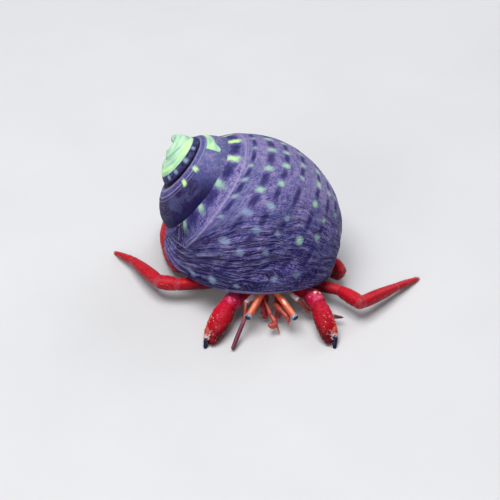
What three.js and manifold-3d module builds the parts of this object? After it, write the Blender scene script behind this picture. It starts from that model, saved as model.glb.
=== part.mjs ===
// Scarlet reef hermit crab in a banded top shell, life size, standing still.
// Millimetres, +Z up. The crab faces -Y, its right side is -X, and the floor is the plane z = 0.
// The pieces are built about a point under the crab's body. At the end they are all moved
// together, so that the origin is the middle of the bottom of the whole animal's box.

import * as THREE from 'three';
import { ParametricGeometry } from 'three/addons/geometries/ParametricGeometry.js';
import { mergeVertices } from 'three/addons/utils/BufferGeometryUtils.js';
import Module from 'manifold-3d';

const wasm = await Module();
wasm.setup();

// ---------------------------------------------------------------------------------------------
// Driving dimensions
// ---------------------------------------------------------------------------------------------

const JOINT_GAP = 0.15;                 // free space kept between two plates of one limb
const BODY_GAP = 0.2;                   // free space kept between a limb and the trunk
const LASH_GAP = 0.09;                  // free space kept round the root of a feeler's lash
const EYE_GAP = 0.05;                   // free space kept between an eye and its stalk
const FLAT_CAP = 0.45;                  // how far a plate's far end stands out where the next one seats

// The shell is a tube whose section grows as it turns about the shell's axis.
const SHELL = {
  apex: new THREE.Vector3(-12.96, 9.89, 19.76),
  axisElevation: 44.1,                  // degrees above the floor, towards the spire
  axisAzimuth: 169.7,                   // degrees from +X
  growthPerTurn: 1.767,                 // each whorl is this much larger than the one before
  startAngle: 4.9,                      // degrees, where turn 0 stands about the axis
  sectionRadius: 8.01,                  // section centre, from the axis
  sectionDrop: 20.31,                   // section centre, below the apex
  halfWidth: 6.61,                      // section, across
  halfHeight: 11.87,                    // section, along the axis
  sectionTilt: -12.8,                   // degrees
  squareness: 1.745,                    // exponent of the section's superellipse
  wall: 0.9,
};
// The worn tip of the spire stands off the axis by this much; the lean fades out down the spire.
const SPIRE_LEAN = { offset: new THREE.Vector3(1.25, 0.44, 0.54), fullTurn: -1150, noneTurn: -430 };
const SPIRE_NUB = { radius: 0.5, rise: 1.5 };
const LIP = { height: 3.95, slope: 0.1944, lastTurn: 62 };   // lip plane z = height - slope * y
const COLUMELLA = { top: 3.2, slope: 0.15, bottom: 21.53, shoulder: 1.6, tip: 2, sides: 20 };

// The shell is joined from stretches of whorl; all turns are in degrees.
const SHELL_STRETCH = 180;
const SHELL_FIRST_TURN = -1260;
const SMALL_WHORLS_BEFORE = -540;
const LARGE_WHORL_MESH = { step: 20, sides: 26 };
const SMALL_WHORL_MESH = { step: 30, sides: 16 };
const CAVITY = { from: -165, to: 110, step: 22, sides: 20 };
const INNER_WHORL = { from: -540, to: -220 };

// ---------------------------------------------------------------------------------------------
// Solids
// ---------------------------------------------------------------------------------------------

const radians = THREE.MathUtils.degToRad;
const vec = (x, y, z) => new THREE.Vector3(x, y, z);
const UP = vec(0, 0, 1);

/** Turns a closed geometry into a manifold solid with its faces pointing out. */
function toSolid(geometry, tolerance = 1e-5) {
  const bare = new THREE.BufferGeometry();
  bare.setAttribute('position', geometry.getAttribute('position').clone());
  if (geometry.index) bare.setIndex(geometry.index.clone());
  const merged = mergeVertices(bare, tolerance);
  const triangles = [];
  const index = merged.index.array;
  for (let i = 0; i < index.length; i += 3) {
    const [a, b, c] = [index[i], index[i + 1], index[i + 2]];
    if (a !== b && b !== c && c !== a) triangles.push(a, b, c);
  }
  const build = (order) => new wasm.Manifold(new wasm.Mesh({
    numProp: 3,
    vertProperties: new Float32Array(merged.getAttribute('position').array),
    triVerts: new Uint32Array(order),
  }));
  const solid = build(triangles);
  if (solid.volume() > 0) return solid;
  const flipped = [];
  for (let i = 0; i < triangles.length; i += 3) {
    flipped.push(triangles[i], triangles[i + 2], triangles[i + 1]);
  }
  return build(flipped);
}

/** Turns a manifold solid back into a geometry. */
function toGeometry(solid) {
  const mesh = solid.getMesh();
  const positions = [];
  for (let i = 0; i < mesh.vertProperties.length; i += mesh.numProp) {
    positions.push(...mesh.vertProperties.slice(i, i + 3));
  }
  const geometry = new THREE.BufferGeometry();
  geometry.setAttribute('position', new THREE.Float32BufferAttribute(positions, 3));
  geometry.setIndex(new THREE.Uint32BufferAttribute(Array.from(mesh.triVerts), 1));
  geometry.computeVertexNormals();
  return geometry;
}

/**
 * Closed tube through rings. ringAt(s, angle) gives a point of ring s, which runs from 0 to 1;
 * the ends close on centreAt(s).
 */
function ringTube(ringAt, centreAt, rings, sides) {
  const stacks = rings + 1;
  const surface = (u, v, target) => {
    const step = Math.round(v * stacks);
    const s = THREE.MathUtils.clamp((step - 1) / (rings - 1), 0, 1);
    const atPole = step === 0 || step === stacks;
    const turn = Math.round(u * sides) % sides;
    target.copy(atPole ? centreAt(s) : ringAt(s, (turn / sides) * Math.PI * 2));
  };
  return toSolid(new ParametricGeometry(surface, sides, stacks));
}

/** The largest closed body of a solid, without loose crumbs or sealed hollows. */
function largestBody(solid) {
  return solid.decompose().reduce((best, body) => (body.volume() > best.volume() ? body : best));
}

/** The same solid with vertices closer than the tolerance joined, and no crumbs left over. */
const cleaned = (solid, tolerance = 2e-3) => largestBody(toSolid(toGeometry(solid), tolerance));

/** A block that fills everything below the plane z = height - slope * y. */
function blockBelow(height, slope = 0) {
  const size = 120;
  const block = new THREE.BoxGeometry(size, size, size);
  block.translate(0, 0, -size / 2);
  block.rotateX(-Math.atan(slope));
  block.translate(0, 0, height);
  return toSolid(block);
}

// ---------------------------------------------------------------------------------------------
// Shell
// ---------------------------------------------------------------------------------------------

const spireDirection = vec(
  Math.cos(radians(SHELL.axisElevation)) * Math.cos(radians(SHELL.axisAzimuth)),
  Math.cos(radians(SHELL.axisElevation)) * Math.sin(radians(SHELL.axisAzimuth)),
  Math.sin(radians(SHELL.axisElevation)));
const sideDirection = UP.clone().cross(spireDirection).normalize();
const backDirection = spireDirection.clone().cross(sideDirection);

/** Point of the shell's tube: turn in degrees of growth, around in radians about the section. */
function shellPoint(turn, around, inset = 0, fill = 1) {
  const power = 2 / SHELL.squareness;
  const shape = (value, half) => Math.sign(value) * Math.abs(value) ** power * (half - inset) * fill;
  const across = shape(Math.cos(around), SHELL.halfWidth);
  const along = shape(Math.sin(around), SHELL.halfHeight);
  const tilt = radians(SHELL.sectionTilt);
  const radius = SHELL.sectionRadius + across * Math.cos(tilt) - along * Math.sin(tilt);
  const drop = SHELL.sectionDrop + across * Math.sin(tilt) + along * Math.cos(tilt);
  const growth = SHELL.growthPerTurn ** (turn / 360);
  const angle = radians(turn + SHELL.startAngle);
  const lean = THREE.MathUtils.smoothstep(-turn, -SPIRE_LEAN.noneTurn, -SPIRE_LEAN.fullTurn);
  return SHELL.apex.clone()
    .addScaledVector(SPIRE_LEAN.offset, lean)
    .addScaledVector(sideDirection, growth * radius * Math.cos(angle))
    .addScaledVector(backDirection, -growth * radius * Math.sin(angle))
    .addScaledVector(spireDirection, -growth * drop);
}

/** Stretch of the shell's tube between two turns, as a closed solid. */
function shellTube(fromTurn, toTurn, step, sides, inset = 0) {
  const rings = Math.round((toTurn - fromTurn) / step) + 1;
  const turnAt = (s) => THREE.MathUtils.lerp(fromTurn, toTurn, s);
  return ringTube(
    (s, angle) => shellPoint(turnAt(s), angle, inset),
    (s) => shellPoint(turnAt(s), 0, inset, 0),
    rings, sides);
}

/** Solid core along the shell's axis, which the whorls wind about. */
function columella() {
  const { top, slope, bottom, shoulder, tip, sides } = COLUMELLA;
  const profile = [
    new THREE.Vector2(0, -top),
    new THREE.Vector2(slope * top, -top),
    new THREE.Vector2(slope * bottom, -bottom),
    new THREE.Vector2(slope * bottom * 0.6, -bottom - shoulder),
    new THREE.Vector2(0, -bottom - tip),
  ];
  const core = new THREE.LatheGeometry(profile, sides);
  core.applyQuaternion(new THREE.Quaternion().setFromUnitVectors(vec(0, 1, 0), spireDirection));
  core.translate(SHELL.apex.x, SHELL.apex.y, SHELL.apex.z);
  return toSolid(core);
}

/** Small rounded knob left at the worn tip of the spire. */
function spireNub() {
  const nub = new THREE.SphereGeometry(SPIRE_NUB.radius, 12, 8);
  const centre = shellPoint(SHELL_FIRST_TURN, 0, 0, 0).addScaledVector(spireDirection, SPIRE_NUB.rise);
  nub.translate(centre.x, centre.y, centre.z);
  return toSolid(nub);
}

/** The whole shell: whorls, core and worn tip, hollowed from the lip up into the last whorl. */
function buildShell() {
  const { step, sides } = LARGE_WHORL_MESH;
  const bodyWhorl = shellTube(-SHELL_STRETCH, LIP.lastTurn, step, sides);
  let shell = bodyWhorl.subtract(blockBelow(LIP.height, LIP.slope));
  for (let end = -SHELL_STRETCH; end > SHELL_FIRST_TURN; end -= SHELL_STRETCH) {
    const mesh = end <= SMALL_WHORLS_BEFORE ? SMALL_WHORL_MESH : LARGE_WHORL_MESH;
    shell = shell.add(shellTube(end - SHELL_STRETCH, end, mesh.step, mesh.sides));
  }
  shell = largestBody(shell.add(columella()).add(spireNub()));
  const innerWhorl = shellTube(INNER_WHORL.from, INNER_WHORL.to, step, sides);
  const room = shellTube(CAVITY.from, CAVITY.to, CAVITY.step, CAVITY.sides, SHELL.wall);
  const cavity = largestBody(room.subtract(innerWhorl).subtract(columella()));
  return largestBody(shell.subtract(cavity).subtract(blockBelow(0)));
}

// ---------------------------------------------------------------------------------------------
// Limbs
// ---------------------------------------------------------------------------------------------

/**
 * One plate of a limb: a rounded spindle from start to end.
 * radii: half width at the start, the middle and the end. thickness: half height over half width.
 * farCap: how far the rounded far end stands out, as a share of its radius.
 * mesh: sides round the plate and rings along it. grow: added to every radius.
 */
function plate({ start, end, radii, thickness = 1, mesh = PLATE_MESH, farCap = 1 }, grow = 0) {
  const forward = end.clone().sub(start);
  const length = forward.length();
  forward.normalize();
  const across = forward.clone().cross(UP).normalize();
  const lift = across.clone().cross(forward);
  const [first, middle, last] = radii.map((radius) => radius + grow);
  const cap = last * farCap;
  const widthAt = (t) => {
    const ends = (1 - t) * (1 - 2 * t) * first + t * (2 * t - 1) * last;
    return ends + 4 * t * (1 - t) * middle;
  };
  const ringAt = (s, angle) => {
    const share = (0.5 + s * (mesh.rings - 1)) / mesh.rings;
    const reach = -first + (length + first + cap) * 0.5 * (1 - Math.cos(Math.PI * share));
    const overrun = Math.max(-reach / first, (reach - length) / cap, 0);
    const t = THREE.MathUtils.clamp(reach / length, 0, 1);
    const width = widthAt(t) * Math.sqrt(Math.max(1 - overrun * overrun, 0));
    return start.clone()
      .addScaledVector(forward, reach)
      .addScaledVector(across, width * Math.cos(angle))
      .addScaledVector(lift, width * thickness * Math.sin(angle));
  };
  const poleAt = (s) => start.clone().addScaledVector(forward, s < 0.5 ? -first : length + cap);
  return ringTube(ringAt, poleAt, mesh.rings, mesh.sides);
}

/** Plates of one limb, in order: each is hollowed at its far end to seat the next with a gap. */
function limb(plates) {
  return plates.map((item, i) => {
    const isLast = i + 1 === plates.length;
    if (isLast) return plate(item);
    return plate({ ...item, farCap: FLAT_CAP }).subtract(plate(plates[i + 1], JOINT_GAP));
  });
}

/** Plates strung through joints: radii holds [start, middle, end] for each plate. */
function chain(joints, radii, options = {}) {
  return radii.map((radius, i) => ({ start: joints[i], end: joints[i + 1], radii: radius, ...options }));
}

/** A limb in one piece: its plates overlap at the joints. */
const joined = (plates, grow = 0) => plates.map((item) => plate(item, grow)).reduce((a, b) => a.add(b));

/** Pieces that stand on the floor are cut to a small flat there. */
const onFloor = (solid) => solid.subtract(blockBelow(0));

// ---------------------------------------------------------------------------------------------
// Crab
// ---------------------------------------------------------------------------------------------

const SIDES = ['right', 'left'];
const PLATE_MESH = { sides: 8, rings: 5 };
const TRUNK_MESH = { sides: 12, rings: 7 };
const HAND_MESH = { sides: 10, rings: 6 };
const SMALL_MESH = { sides: 6, rings: 4 };
const LASH_MESH = { sides: 6, rings: 5 };

const THORAX = {
  start: vec(2.95, -4.3, 4.3),
  end: vec(2.1, -0.8, 5.0),
  radii: [1.7, 2.8, 2.5],
  thickness: 0.6,
  mesh: TRUNK_MESH,
};
const SHIELD = {
  start: vec(2.95, -4.5, 4.65),
  end: vec(2.1, -0.8, 5.6),
  radii: [1.9, 3.0, 2.7],
  thickness: 0.62,
  mesh: TRUNK_MESH,
};
const SHIELD_EDGE = 4.9;                // the shield covers the trunk above this height
// The soft abdomen follows the shell's tube between two turns, narrowing as it goes.
const ABDOMEN = { from: -22, to: -160, startRadius: 2.5, endRadius: 1.2, rings: 9, sides: 12 };
const ABDOMEN_ROUNDING = { from: 0.12, to: 0.88 };

// Walking legs: half widths of each plate at its start, middle and end.
const LEG_RADII = {
  merus: [0.7, 0.95, 0.85],
  carpus: [0.85, 1.06, 0.96],
  propodus: [0.88, 0.92, 0.62],
  dactyl: [0.62, 0.52, 0.27],
};
// The leg folded close beside the shell is slimmer at its knee.
const FOLDED_LEG_RADII = {
  merus: [0.7, 0.86, 0.8],
  carpus: [0.8, 0.95, 0.56],
  propodus: [0.52, 0.66, 0.5],
  dactyl: [0.5, 0.45, 0.26],
};
const LEG_THICKNESS = 0.95;
// Joints of each leg, from the trunk to the tip of the foot.
const LEG_JOINTS = {
  leg2: {
    right: [
      vec(-0.7, -0.9, 2.9),
      vec(-10.1, -2.15, 2.95),
      vec(-12.8, -1.55, 2.95),
      vec(-16.85, 4.7, 1.6),
      vec(-19.8, 8.3, 0.2),
    ],
    left: [
      vec(5.1, -0.6, 2.9),
      vec(12.5, -3.1, 2.7),
      vec(15.4, -6.05, 2.9),
      vec(20.6, -1.1, 1.5),
      vec(24.2, 2.4, 0.2),
    ],
  },
  leg3: {
    right: [
      vec(-0.9, 1.4, 2.8),
      vec(-10.6, 3.2, 1.8),
      vec(-11.8, 7.2, 1.5),
      vec(-12.75, 11.6, 1.1),
      vec(-12.7, 16.3, 0.2),
    ],
    left: [
      vec(5.1, 1.6, 2.8),
      vec(11.6, 4.0, 2.2),
      vec(13.15, 0.75, 2.95),
      vec(12.5, 1.8, 1.0),
      vec(9.6, 4.9, 0.2),
    ],
  },
};
// The short rear pair, held inside the shell.
const LEG4 = {
  right: [vec(-0.8, 0.6, 5.2), vec(-3.4, 0.7, 5.4), vec(-5.0, -0.5, 5.0)],
  left: [vec(5.0, 0.9, 5.2), vec(7.4, 1.0, 5.4), vec(8.7, -0.2, 5.0)],
};
const LEG4_RADII = [[0.45, 0.5, 0.42], [0.42, 0.45, 0.3]];

// Great claws: shoulder, elbow, wrist, tip of the fingers.
const CHELIPED_JOINTS = {
  right: [vec(1.0, -2.2, 2.8), vec(-1.4, -4.45, 2.95), vec(-3.05, -6.85, 3.2), vec(-6.05, -12.2, 0.2)],
  left: [vec(4.95, -2.1, 2.8), vec(8.2, -4.05, 2.95), vec(9.45, -6.6, 3.2), vec(11.5, -12.2, 0.2)],
};
const CLAW = {
  merus: [0.8, 0.9, 0.9],
  carpus: [0.95, 1.2, 1.08],
  palm: { right: [1.1, 1.43, 1.36], left: [1.05, 1.32, 1.25] },
  palmShare: 0.52,                      // of the hand's length
  thickness: 0.8,
};
// Fingers: the root and the tip are off the hand's middle line, outwards if positive.
const FIXED_FINGER = { radii: [0.66, 0.6, 0.28], root: 0.68, tip: 0.12, short: 0 };
const MOVING_FINGER = { radii: [0.76, 0.7, 0.34], root: -0.56, tip: -0.5, short: 0.5 };

const EYESTALKS = {
  right: [vec(1.85, -5.7, 4.75), vec(-0.16, -9.15, 3.18)],
  left: [vec(3.75, -5.7, 4.5), vec(6.08, -9.15, 3.07)],
};
const EYESTALK_RADII = [0.46, 0.46, 0.49];
const CORNEA_RADIUS = 0.53;

// Feelers: the peduncle carries a flagellum from its last joint.
const ANTENNULES = {
  right: {
    peduncle: [vec(2.0, -5.9, 3.5), vec(2.8, -7.6, 2.2), vec(3.55, -8.6, 1.45)],
    lash: vec(2.55, -9.4, 1.85),
    branch: vec(4.1, -9.6, 0.3),
  },
  left: {
    peduncle: [vec(3.3, -6.2, 3.05), vec(4.3, -7.5, 2.8), vec(5.1, -8.4, 2.45)],
    lash: vec(5.45, -8.9, 2.1),
    branch: vec(5.3, -9.2, 1.7),
  },
};
const ANTENNULE_RADII = {
  peduncle: [0.28, 0.36, 0.32],
  lash: [0.3, 0.44, 0.34],
  branch: [0.25, 0.25, 0.25],
};
const ANTENNAE = {
  right: {
    peduncle: [vec(0.85, -5.3, 4.0), vec(-0.55, -6.95, 3.75), vec(-0.75, -8.9, 2.4)],
    lash: vec(-2.38, -13.0, 0.32),
  },
  left: {
    peduncle: [vec(5.55, -4.95, 3.8), vec(6.65, -6.05, 3.5), vec(8.2, -6.5, 1.6)],
    lash: vec(13.0, -7.3, 1.3),
  },
};
const ANTENNA_RADII = { peduncle: [[0.38, 0.42, 0.34], [0.34, 0.34, 0.28]], lash: [0.28, 0.28, 0.25] };
const MAXILLIPEDS = {
  right: [vec(2.3, -4.7, 2.8), vec(1.8, -6.1, 2.0), vec(2.2, -6.9, 0.9)],
  left: [vec(3.7, -4.7, 2.8), vec(4.2, -6.1, 2.0), vec(3.8, -6.9, 0.9)],
};
const MAXILLIPED_RADII = [[0.4, 0.48, 0.42], [0.42, 0.42, 0.28]];

const COLOURS = {
  shell: 0x5a5674,
  scarlet: 0xb81d2c,
  orange: 0xe8622a,
  cornea: 0x23263a,
  flesh: 0xc98a7a,
  feeler: 0x6e2236,
};

const thoraxRoom = plate(THORAX, JOINT_GAP);
const shieldRoom = plate(SHIELD, JOINT_GAP);

/** The hard shield over the front of the trunk. */
const buildCarapace = () => plate(SHIELD).subtract(thoraxRoom).subtract(blockBelow(SHIELD_EDGE));

/** The soft abdomen, curled up into the shell. */
function buildAbdomen() {
  const turnAt = (s) => THREE.MathUtils.lerp(ABDOMEN.from, ABDOMEN.to, s);
  const centreAt = (s) => shellPoint(turnAt(s), 0, 0, 0);
  const radiusAt = (s) => {
    const rounding = Math.PI * THREE.MathUtils.lerp(ABDOMEN_ROUNDING.from, ABDOMEN_ROUNDING.to, s);
    return THREE.MathUtils.lerp(ABDOMEN.startRadius, ABDOMEN.endRadius, s) * Math.sqrt(Math.sin(rounding));
  };
  const ringAt = (s, angle) => {
    const outward = shellPoint(turnAt(s), 0).sub(centreAt(s)).normalize();
    return centreAt(s)
      .addScaledVector(outward, radiusAt(s) * Math.cos(angle))
      .addScaledVector(spireDirection, radiusAt(s) * Math.sin(angle));
  };
  const tube = ringTube(ringAt, centreAt, ABDOMEN.rings, ABDOMEN.sides);
  return tube.subtract(shieldRoom).subtract(thoraxRoom);
}

/** Plates of one walking leg, from the merus to the foot. */
function legPlates(leg, side) {
  const folded = leg === 'leg3' && side === 'left';
  const radii = Object.values(folded ? FOLDED_LEG_RADII : LEG_RADII);
  return chain(LEG_JOINTS[leg][side], radii, { thickness: LEG_THICKNESS });
}

/** Plates of one short rear leg. */
const rearLegPlates = (side) => chain(LEG4[side], LEG4_RADII, { mesh: SMALL_MESH });

/** Merus, carpus and palm of one great claw, as plates. */
function clawPlates(side) {
  const [shoulder, elbow, wrist, tip] = CHELIPED_JOINTS[side];
  const arm = chain([shoulder, elbow, wrist], [CLAW.merus, CLAW.carpus]);
  const knuckle = wrist.clone().lerp(tip, CLAW.palmShare);
  const hand = {
    start: wrist,
    end: knuckle,
    radii: CLAW.palm[side],
    thickness: CLAW.thickness,
    mesh: HAND_MESH,
  };
  return [...arm, hand];
}

/** Merus, carpus, palm and moving finger of one great claw. The fixed finger grows from the palm. */
function buildCheliped(side) {
  const plates = clawPlates(side);
  const hand = plates[2];
  const tip = CHELIPED_JOINTS[side][3];
  const forward = tip.clone().sub(hand.start).normalize();
  const outward = vec(forward.y, -forward.x, 0).normalize().multiplyScalar(side === 'right' ? 1 : -1);
  const fingerPlate = (finger) => ({
    start: hand.end.clone().addScaledVector(outward, finger.root),
    end: tip.clone().addScaledVector(outward, finger.tip).addScaledVector(forward, -finger.short),
    radii: finger.radii,
  });
  const moving = fingerPlate(MOVING_FINGER);
  const palm = plate(hand).add(plate(fingerPlate(FIXED_FINGER))).subtract(plate(moving, JOINT_GAP));
  const [merus, carpus] = limb(plates);
  return { merus, carpus, palm, finger: plate(moving) };
}

/** The sternum and the sides of the trunk, with a socket for each limb. */
function buildThorax() {
  let thorax = plate(THORAX);
  for (const side of SIDES) {
    const roots = [
      legPlates('leg2', side)[0],
      legPlates('leg3', side)[0],
      clawPlates(side)[0],
    ];
    for (const root of roots) {
      thorax = thorax.subtract(plate(root, BODY_GAP));
    }
    thorax = thorax.subtract(joined(rearLegPlates(side), BODY_GAP));
  }
  return thorax;
}

/** A round eye of the given radius at the end of one stalk. */
function eyeball(side, radius) {
  const ball = new THREE.SphereGeometry(radius, 8, 6);
  const centre = EYESTALKS[side][1];
  ball.translate(centre.x, centre.y, centre.z);
  return toSolid(ball);
}

function buildEyestalk(side) {
  const [start, end] = EYESTALKS[side];
  const stalk = plate({ start, end, radii: EYESTALK_RADII });
  return stalk.subtract(eyeball(side, CORNEA_RADIUS + EYE_GAP)).subtract(thoraxRoom).subtract(shieldRoom);
}

/** Stem and two-branched lash of one antennule. */
function buildAntennule(side) {
  const { peduncle, lash, branch } = ANTENNULES[side];
  const root = { start: peduncle[2], mesh: SMALL_MESH };
  const lashes = [
    { ...root, end: lash, radii: ANTENNULE_RADII.lash },
    { ...root, end: branch, radii: ANTENNULE_RADII.branch },
  ];
  const stemRadii = [ANTENNULE_RADII.peduncle, ANTENNULE_RADII.peduncle];
  const stem = joined(chain(peduncle, stemRadii, { mesh: SMALL_MESH }))
    .subtract(joined(lashes, LASH_GAP))
    .subtract(thoraxRoom)
    .subtract(shieldRoom);
  return { stem, lash: joined(lashes) };
}

/** Stem and lash of one long antenna. */
function buildAntenna(side) {
  const { peduncle, lash } = ANTENNAE[side];
  const whip = { start: peduncle[2], end: lash, radii: ANTENNA_RADII.lash, mesh: LASH_MESH };
  const stem = joined(chain(peduncle, ANTENNA_RADII.peduncle, { mesh: SMALL_MESH }))
    .subtract(plate(whip, LASH_GAP))
    .subtract(thoraxRoom)
    .subtract(shieldRoom);
  return { stem, lash: plate(whip) };
}

/** One of the pair of small limbs folded under the mouth. */
function buildMaxilliped(side) {
  return joined(chain(MAXILLIPEDS[side], MAXILLIPED_RADII, { mesh: SMALL_MESH })).subtract(thoraxRoom);
}

// ---------------------------------------------------------------------------------------------
// Model
// ---------------------------------------------------------------------------------------------

const model = new THREE.Group();
model.name = 'hermit_crab';

/** Adds one solid to the model as a named mesh with its own material. */
function addPiece(name, solid, colour, roughness = 0.45) {
  const material = new THREE.MeshStandardMaterial({ color: colour, roughness, metalness: 0 });
  const mesh = new THREE.Mesh(toGeometry(cleaned(solid)), material);
  mesh.name = name;
  model.add(mesh);
}

addPiece('shell', buildShell(), COLOURS.shell, 0.6);
addPiece('carapace', buildCarapace(), COLOURS.scarlet);
addPiece('thorax', buildThorax(), COLOURS.scarlet);
addPiece('abdomen', buildAbdomen(), COLOURS.flesh, 0.6);

for (const side of SIDES) {
  for (const leg of Object.keys(LEG_JOINTS)) {
    const pieces = limb(legPlates(leg, side));
    Object.keys(LEG_RADII).forEach((part, i) => {
      addPiece(`${leg}_${side}_${part}`, onFloor(pieces[i]), COLOURS.scarlet);
    });
  }
  addPiece(`leg4_${side}`, joined(rearLegPlates(side)).subtract(shieldRoom), COLOURS.scarlet);

  for (const [part, solid] of Object.entries(buildCheliped(side))) {
    addPiece(`cheliped_${side}_${part}`, onFloor(solid), COLOURS.scarlet);
  }

  addPiece(`eyestalk_${side}`, buildEyestalk(side), COLOURS.orange);
  addPiece(`cornea_${side}`, eyeball(side, CORNEA_RADIUS), COLOURS.cornea, 0.1);

  const antennule = buildAntennule(side);
  addPiece(`antennule_${side}`, antennule.stem, COLOURS.orange);
  addPiece(`antennule_${side}_lash`, antennule.lash, COLOURS.feeler);

  const antenna = buildAntenna(side);
  addPiece(`antenna_${side}`, antenna.stem, COLOURS.scarlet);
  addPiece(`antenna_${side}_lash`, antenna.lash, COLOURS.feeler);

  addPiece(`maxilliped_${side}`, buildMaxilliped(side), COLOURS.scarlet);
}

// The origin goes to the middle of the bottom of the whole animal's box.
const box = new THREE.Box3().setFromObject(model);
const middle = box.getCenter(vec(0, 0, 0));
for (const mesh of model.children) {
  mesh.geometry.translate(-middle.x, -middle.y, -box.min.z);
}

export default model;
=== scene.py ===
"""Looks of a scarlet reef hermit crab in a banded top shell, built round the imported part.

All sizes are millimetres in the frame that the crab was drawn in: it faces -Y, its right side is
-X, the floor is z = 0 and x = 0, y = 0 lies under its body. Placement carries finished points to
metres in the row's frame.
"""

import logging
import math
from dataclasses import dataclass, field, replace
from enum import Enum
from functools import cache, reduce
from typing import Callable, Optional, Protocol, Sequence

import bpy
import numpy as np
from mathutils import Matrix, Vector

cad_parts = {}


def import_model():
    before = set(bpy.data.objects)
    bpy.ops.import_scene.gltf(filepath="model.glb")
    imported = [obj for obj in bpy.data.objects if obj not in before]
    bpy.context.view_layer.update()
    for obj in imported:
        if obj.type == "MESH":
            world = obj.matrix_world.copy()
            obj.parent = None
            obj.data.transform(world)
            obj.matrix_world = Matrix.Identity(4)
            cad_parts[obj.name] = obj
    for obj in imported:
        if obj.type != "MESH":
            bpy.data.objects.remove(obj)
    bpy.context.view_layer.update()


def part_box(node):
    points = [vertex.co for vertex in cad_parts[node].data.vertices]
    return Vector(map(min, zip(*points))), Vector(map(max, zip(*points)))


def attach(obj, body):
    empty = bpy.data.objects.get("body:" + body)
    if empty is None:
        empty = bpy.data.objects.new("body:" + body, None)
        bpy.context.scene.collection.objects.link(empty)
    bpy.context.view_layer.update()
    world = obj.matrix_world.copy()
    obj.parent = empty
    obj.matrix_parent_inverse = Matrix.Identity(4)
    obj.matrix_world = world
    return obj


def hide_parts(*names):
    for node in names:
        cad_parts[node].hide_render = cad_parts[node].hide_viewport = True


LOG = logging.getLogger("hermit_crab")
Colour = tuple[float, float, float]
Point = tuple[float, float, float]
Array = np.ndarray
Material = bpy.types.Material
Socket = bpy.types.NodeSocket


# ---- Numbers, noise and placement ----


def rise(value: Array, low: float, high: float) -> Array:
    """Rise from 0 at low to 1 at high along the cubic 3t^2 - 2t^3.

    Args:
        value: numbers to map.
        low: where the rise starts.
        high: where it ends; it may be less than low for a fall.

    Returns:
        Values between 0 and 1.
    """
    t = np.clip((np.asarray(value, float) - low) / (high - low), 0.0, 1.0)
    return t * t * (3.0 - 2.0 * t)


def hump(value: Array, centre: float, width: float) -> Array:
    """Bell of height 1: exp of minus the squared distance from the centre in widths."""
    return np.exp(-(((np.asarray(value, float) - centre) / width) ** 2))


class SmoothNoise:
    """Repeatable smooth noise: random values on a lattice, blended by the cubic 3t^2 - 2t^3."""

    SIZE = 256

    def __init__(self, seed: int) -> None:
        """Fills the lattice from a seed."""
        self.lattice = np.random.default_rng(seed).uniform(-1.0, 1.0, (self.SIZE, self.SIZE))

    def __call__(self, x: Array, y: Array | float = 0.0) -> Array:
        """Samples the noise.

        Args:
            x: first coordinate; one lattice cell is one unit.
            y: second coordinate.

        Returns:
            Values between -1 and 1, the bilinear blend of the four lattice corners.
        """
        x, y = np.broadcast_arrays(np.asarray(x, float), np.asarray(y, float))
        cell_x, cell_y = np.floor(x).astype(int), np.floor(y).astype(int)
        blend_x, blend_y = rise(x - cell_x, 0.0, 1.0), rise(y - cell_y, 0.0, 1.0)

        def corner(step_x: int, step_y: int) -> Array:
            """Lattice value at one corner of each point's cell."""
            return self.lattice[(cell_x + step_x) % self.SIZE, (cell_y + step_y) % self.SIZE]

        low = corner(0, 0) * (1 - blend_x) + corner(1, 0) * blend_x
        high = corner(0, 1) * (1 - blend_x) + corner(1, 1) * blend_x
        return low * (1 - blend_y) + high * blend_y


def unit(vectors: Array) -> Array:
    """Vectors scaled to length 1 along their last axis."""
    return vectors / np.maximum(np.linalg.norm(vectors, axis=-1, keepdims=True), 1e-12)


@dataclass(frozen=True)
class Placement:
    """Carries points of the drawing frame, in millimetres, to the row's frame, in metres."""

    shell_low_corner: Point = (-12.4554, -7.1959, 0.0)
    millimetre: float = 0.001

    def metres(self, points: Array) -> Array:
        """Moves points so that the drawn shell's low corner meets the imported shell's.

        Args:
            points: millimetre points, last axis x, y, z.

        Returns:
            The points in metres, in the row's frame.
        """
        corner = np.array(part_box("shell")[0])
        return corner + (np.asarray(points, float) - np.array(self.shell_low_corner)) * self.millimetre


PLACEMENT = Placement()


# ---- Meshes from grids ----


def tube_faces(count: int, sides: int) -> tuple[Array, Array]:
    """Faces of a closed stack of rings, whose points run ring by ring, then one for each end.

    The quad at ring i, side j joins sides j and j + 1 of rings i and i + 1, the last side joins
    the first, and each end closes as a fan on its point.

    Args:
        count: number of rings.
        sides: points of each ring.

    Returns:
        Corner numbers of the quads and of the triangles.
    """
    ring, side = np.meshgrid(np.arange(count - 1) * sides, np.arange(sides), indexing="ij")
    after = (side + 1) % sides
    corners = (ring + side, ring + after, ring + sides + after, ring + sides + side)
    around, last = np.arange(sides), (count - 1) * sides
    turned = (around + 1) % sides
    start, end = np.full(sides, count * sides), np.full(sides, count * sides + 1)
    fans = [np.stack([start, turned, around], axis=1), np.stack([end, last + around, last + turned], axis=1)]
    return np.stack([corner.ravel() for corner in corners], axis=1), np.concatenate(fans)


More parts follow.
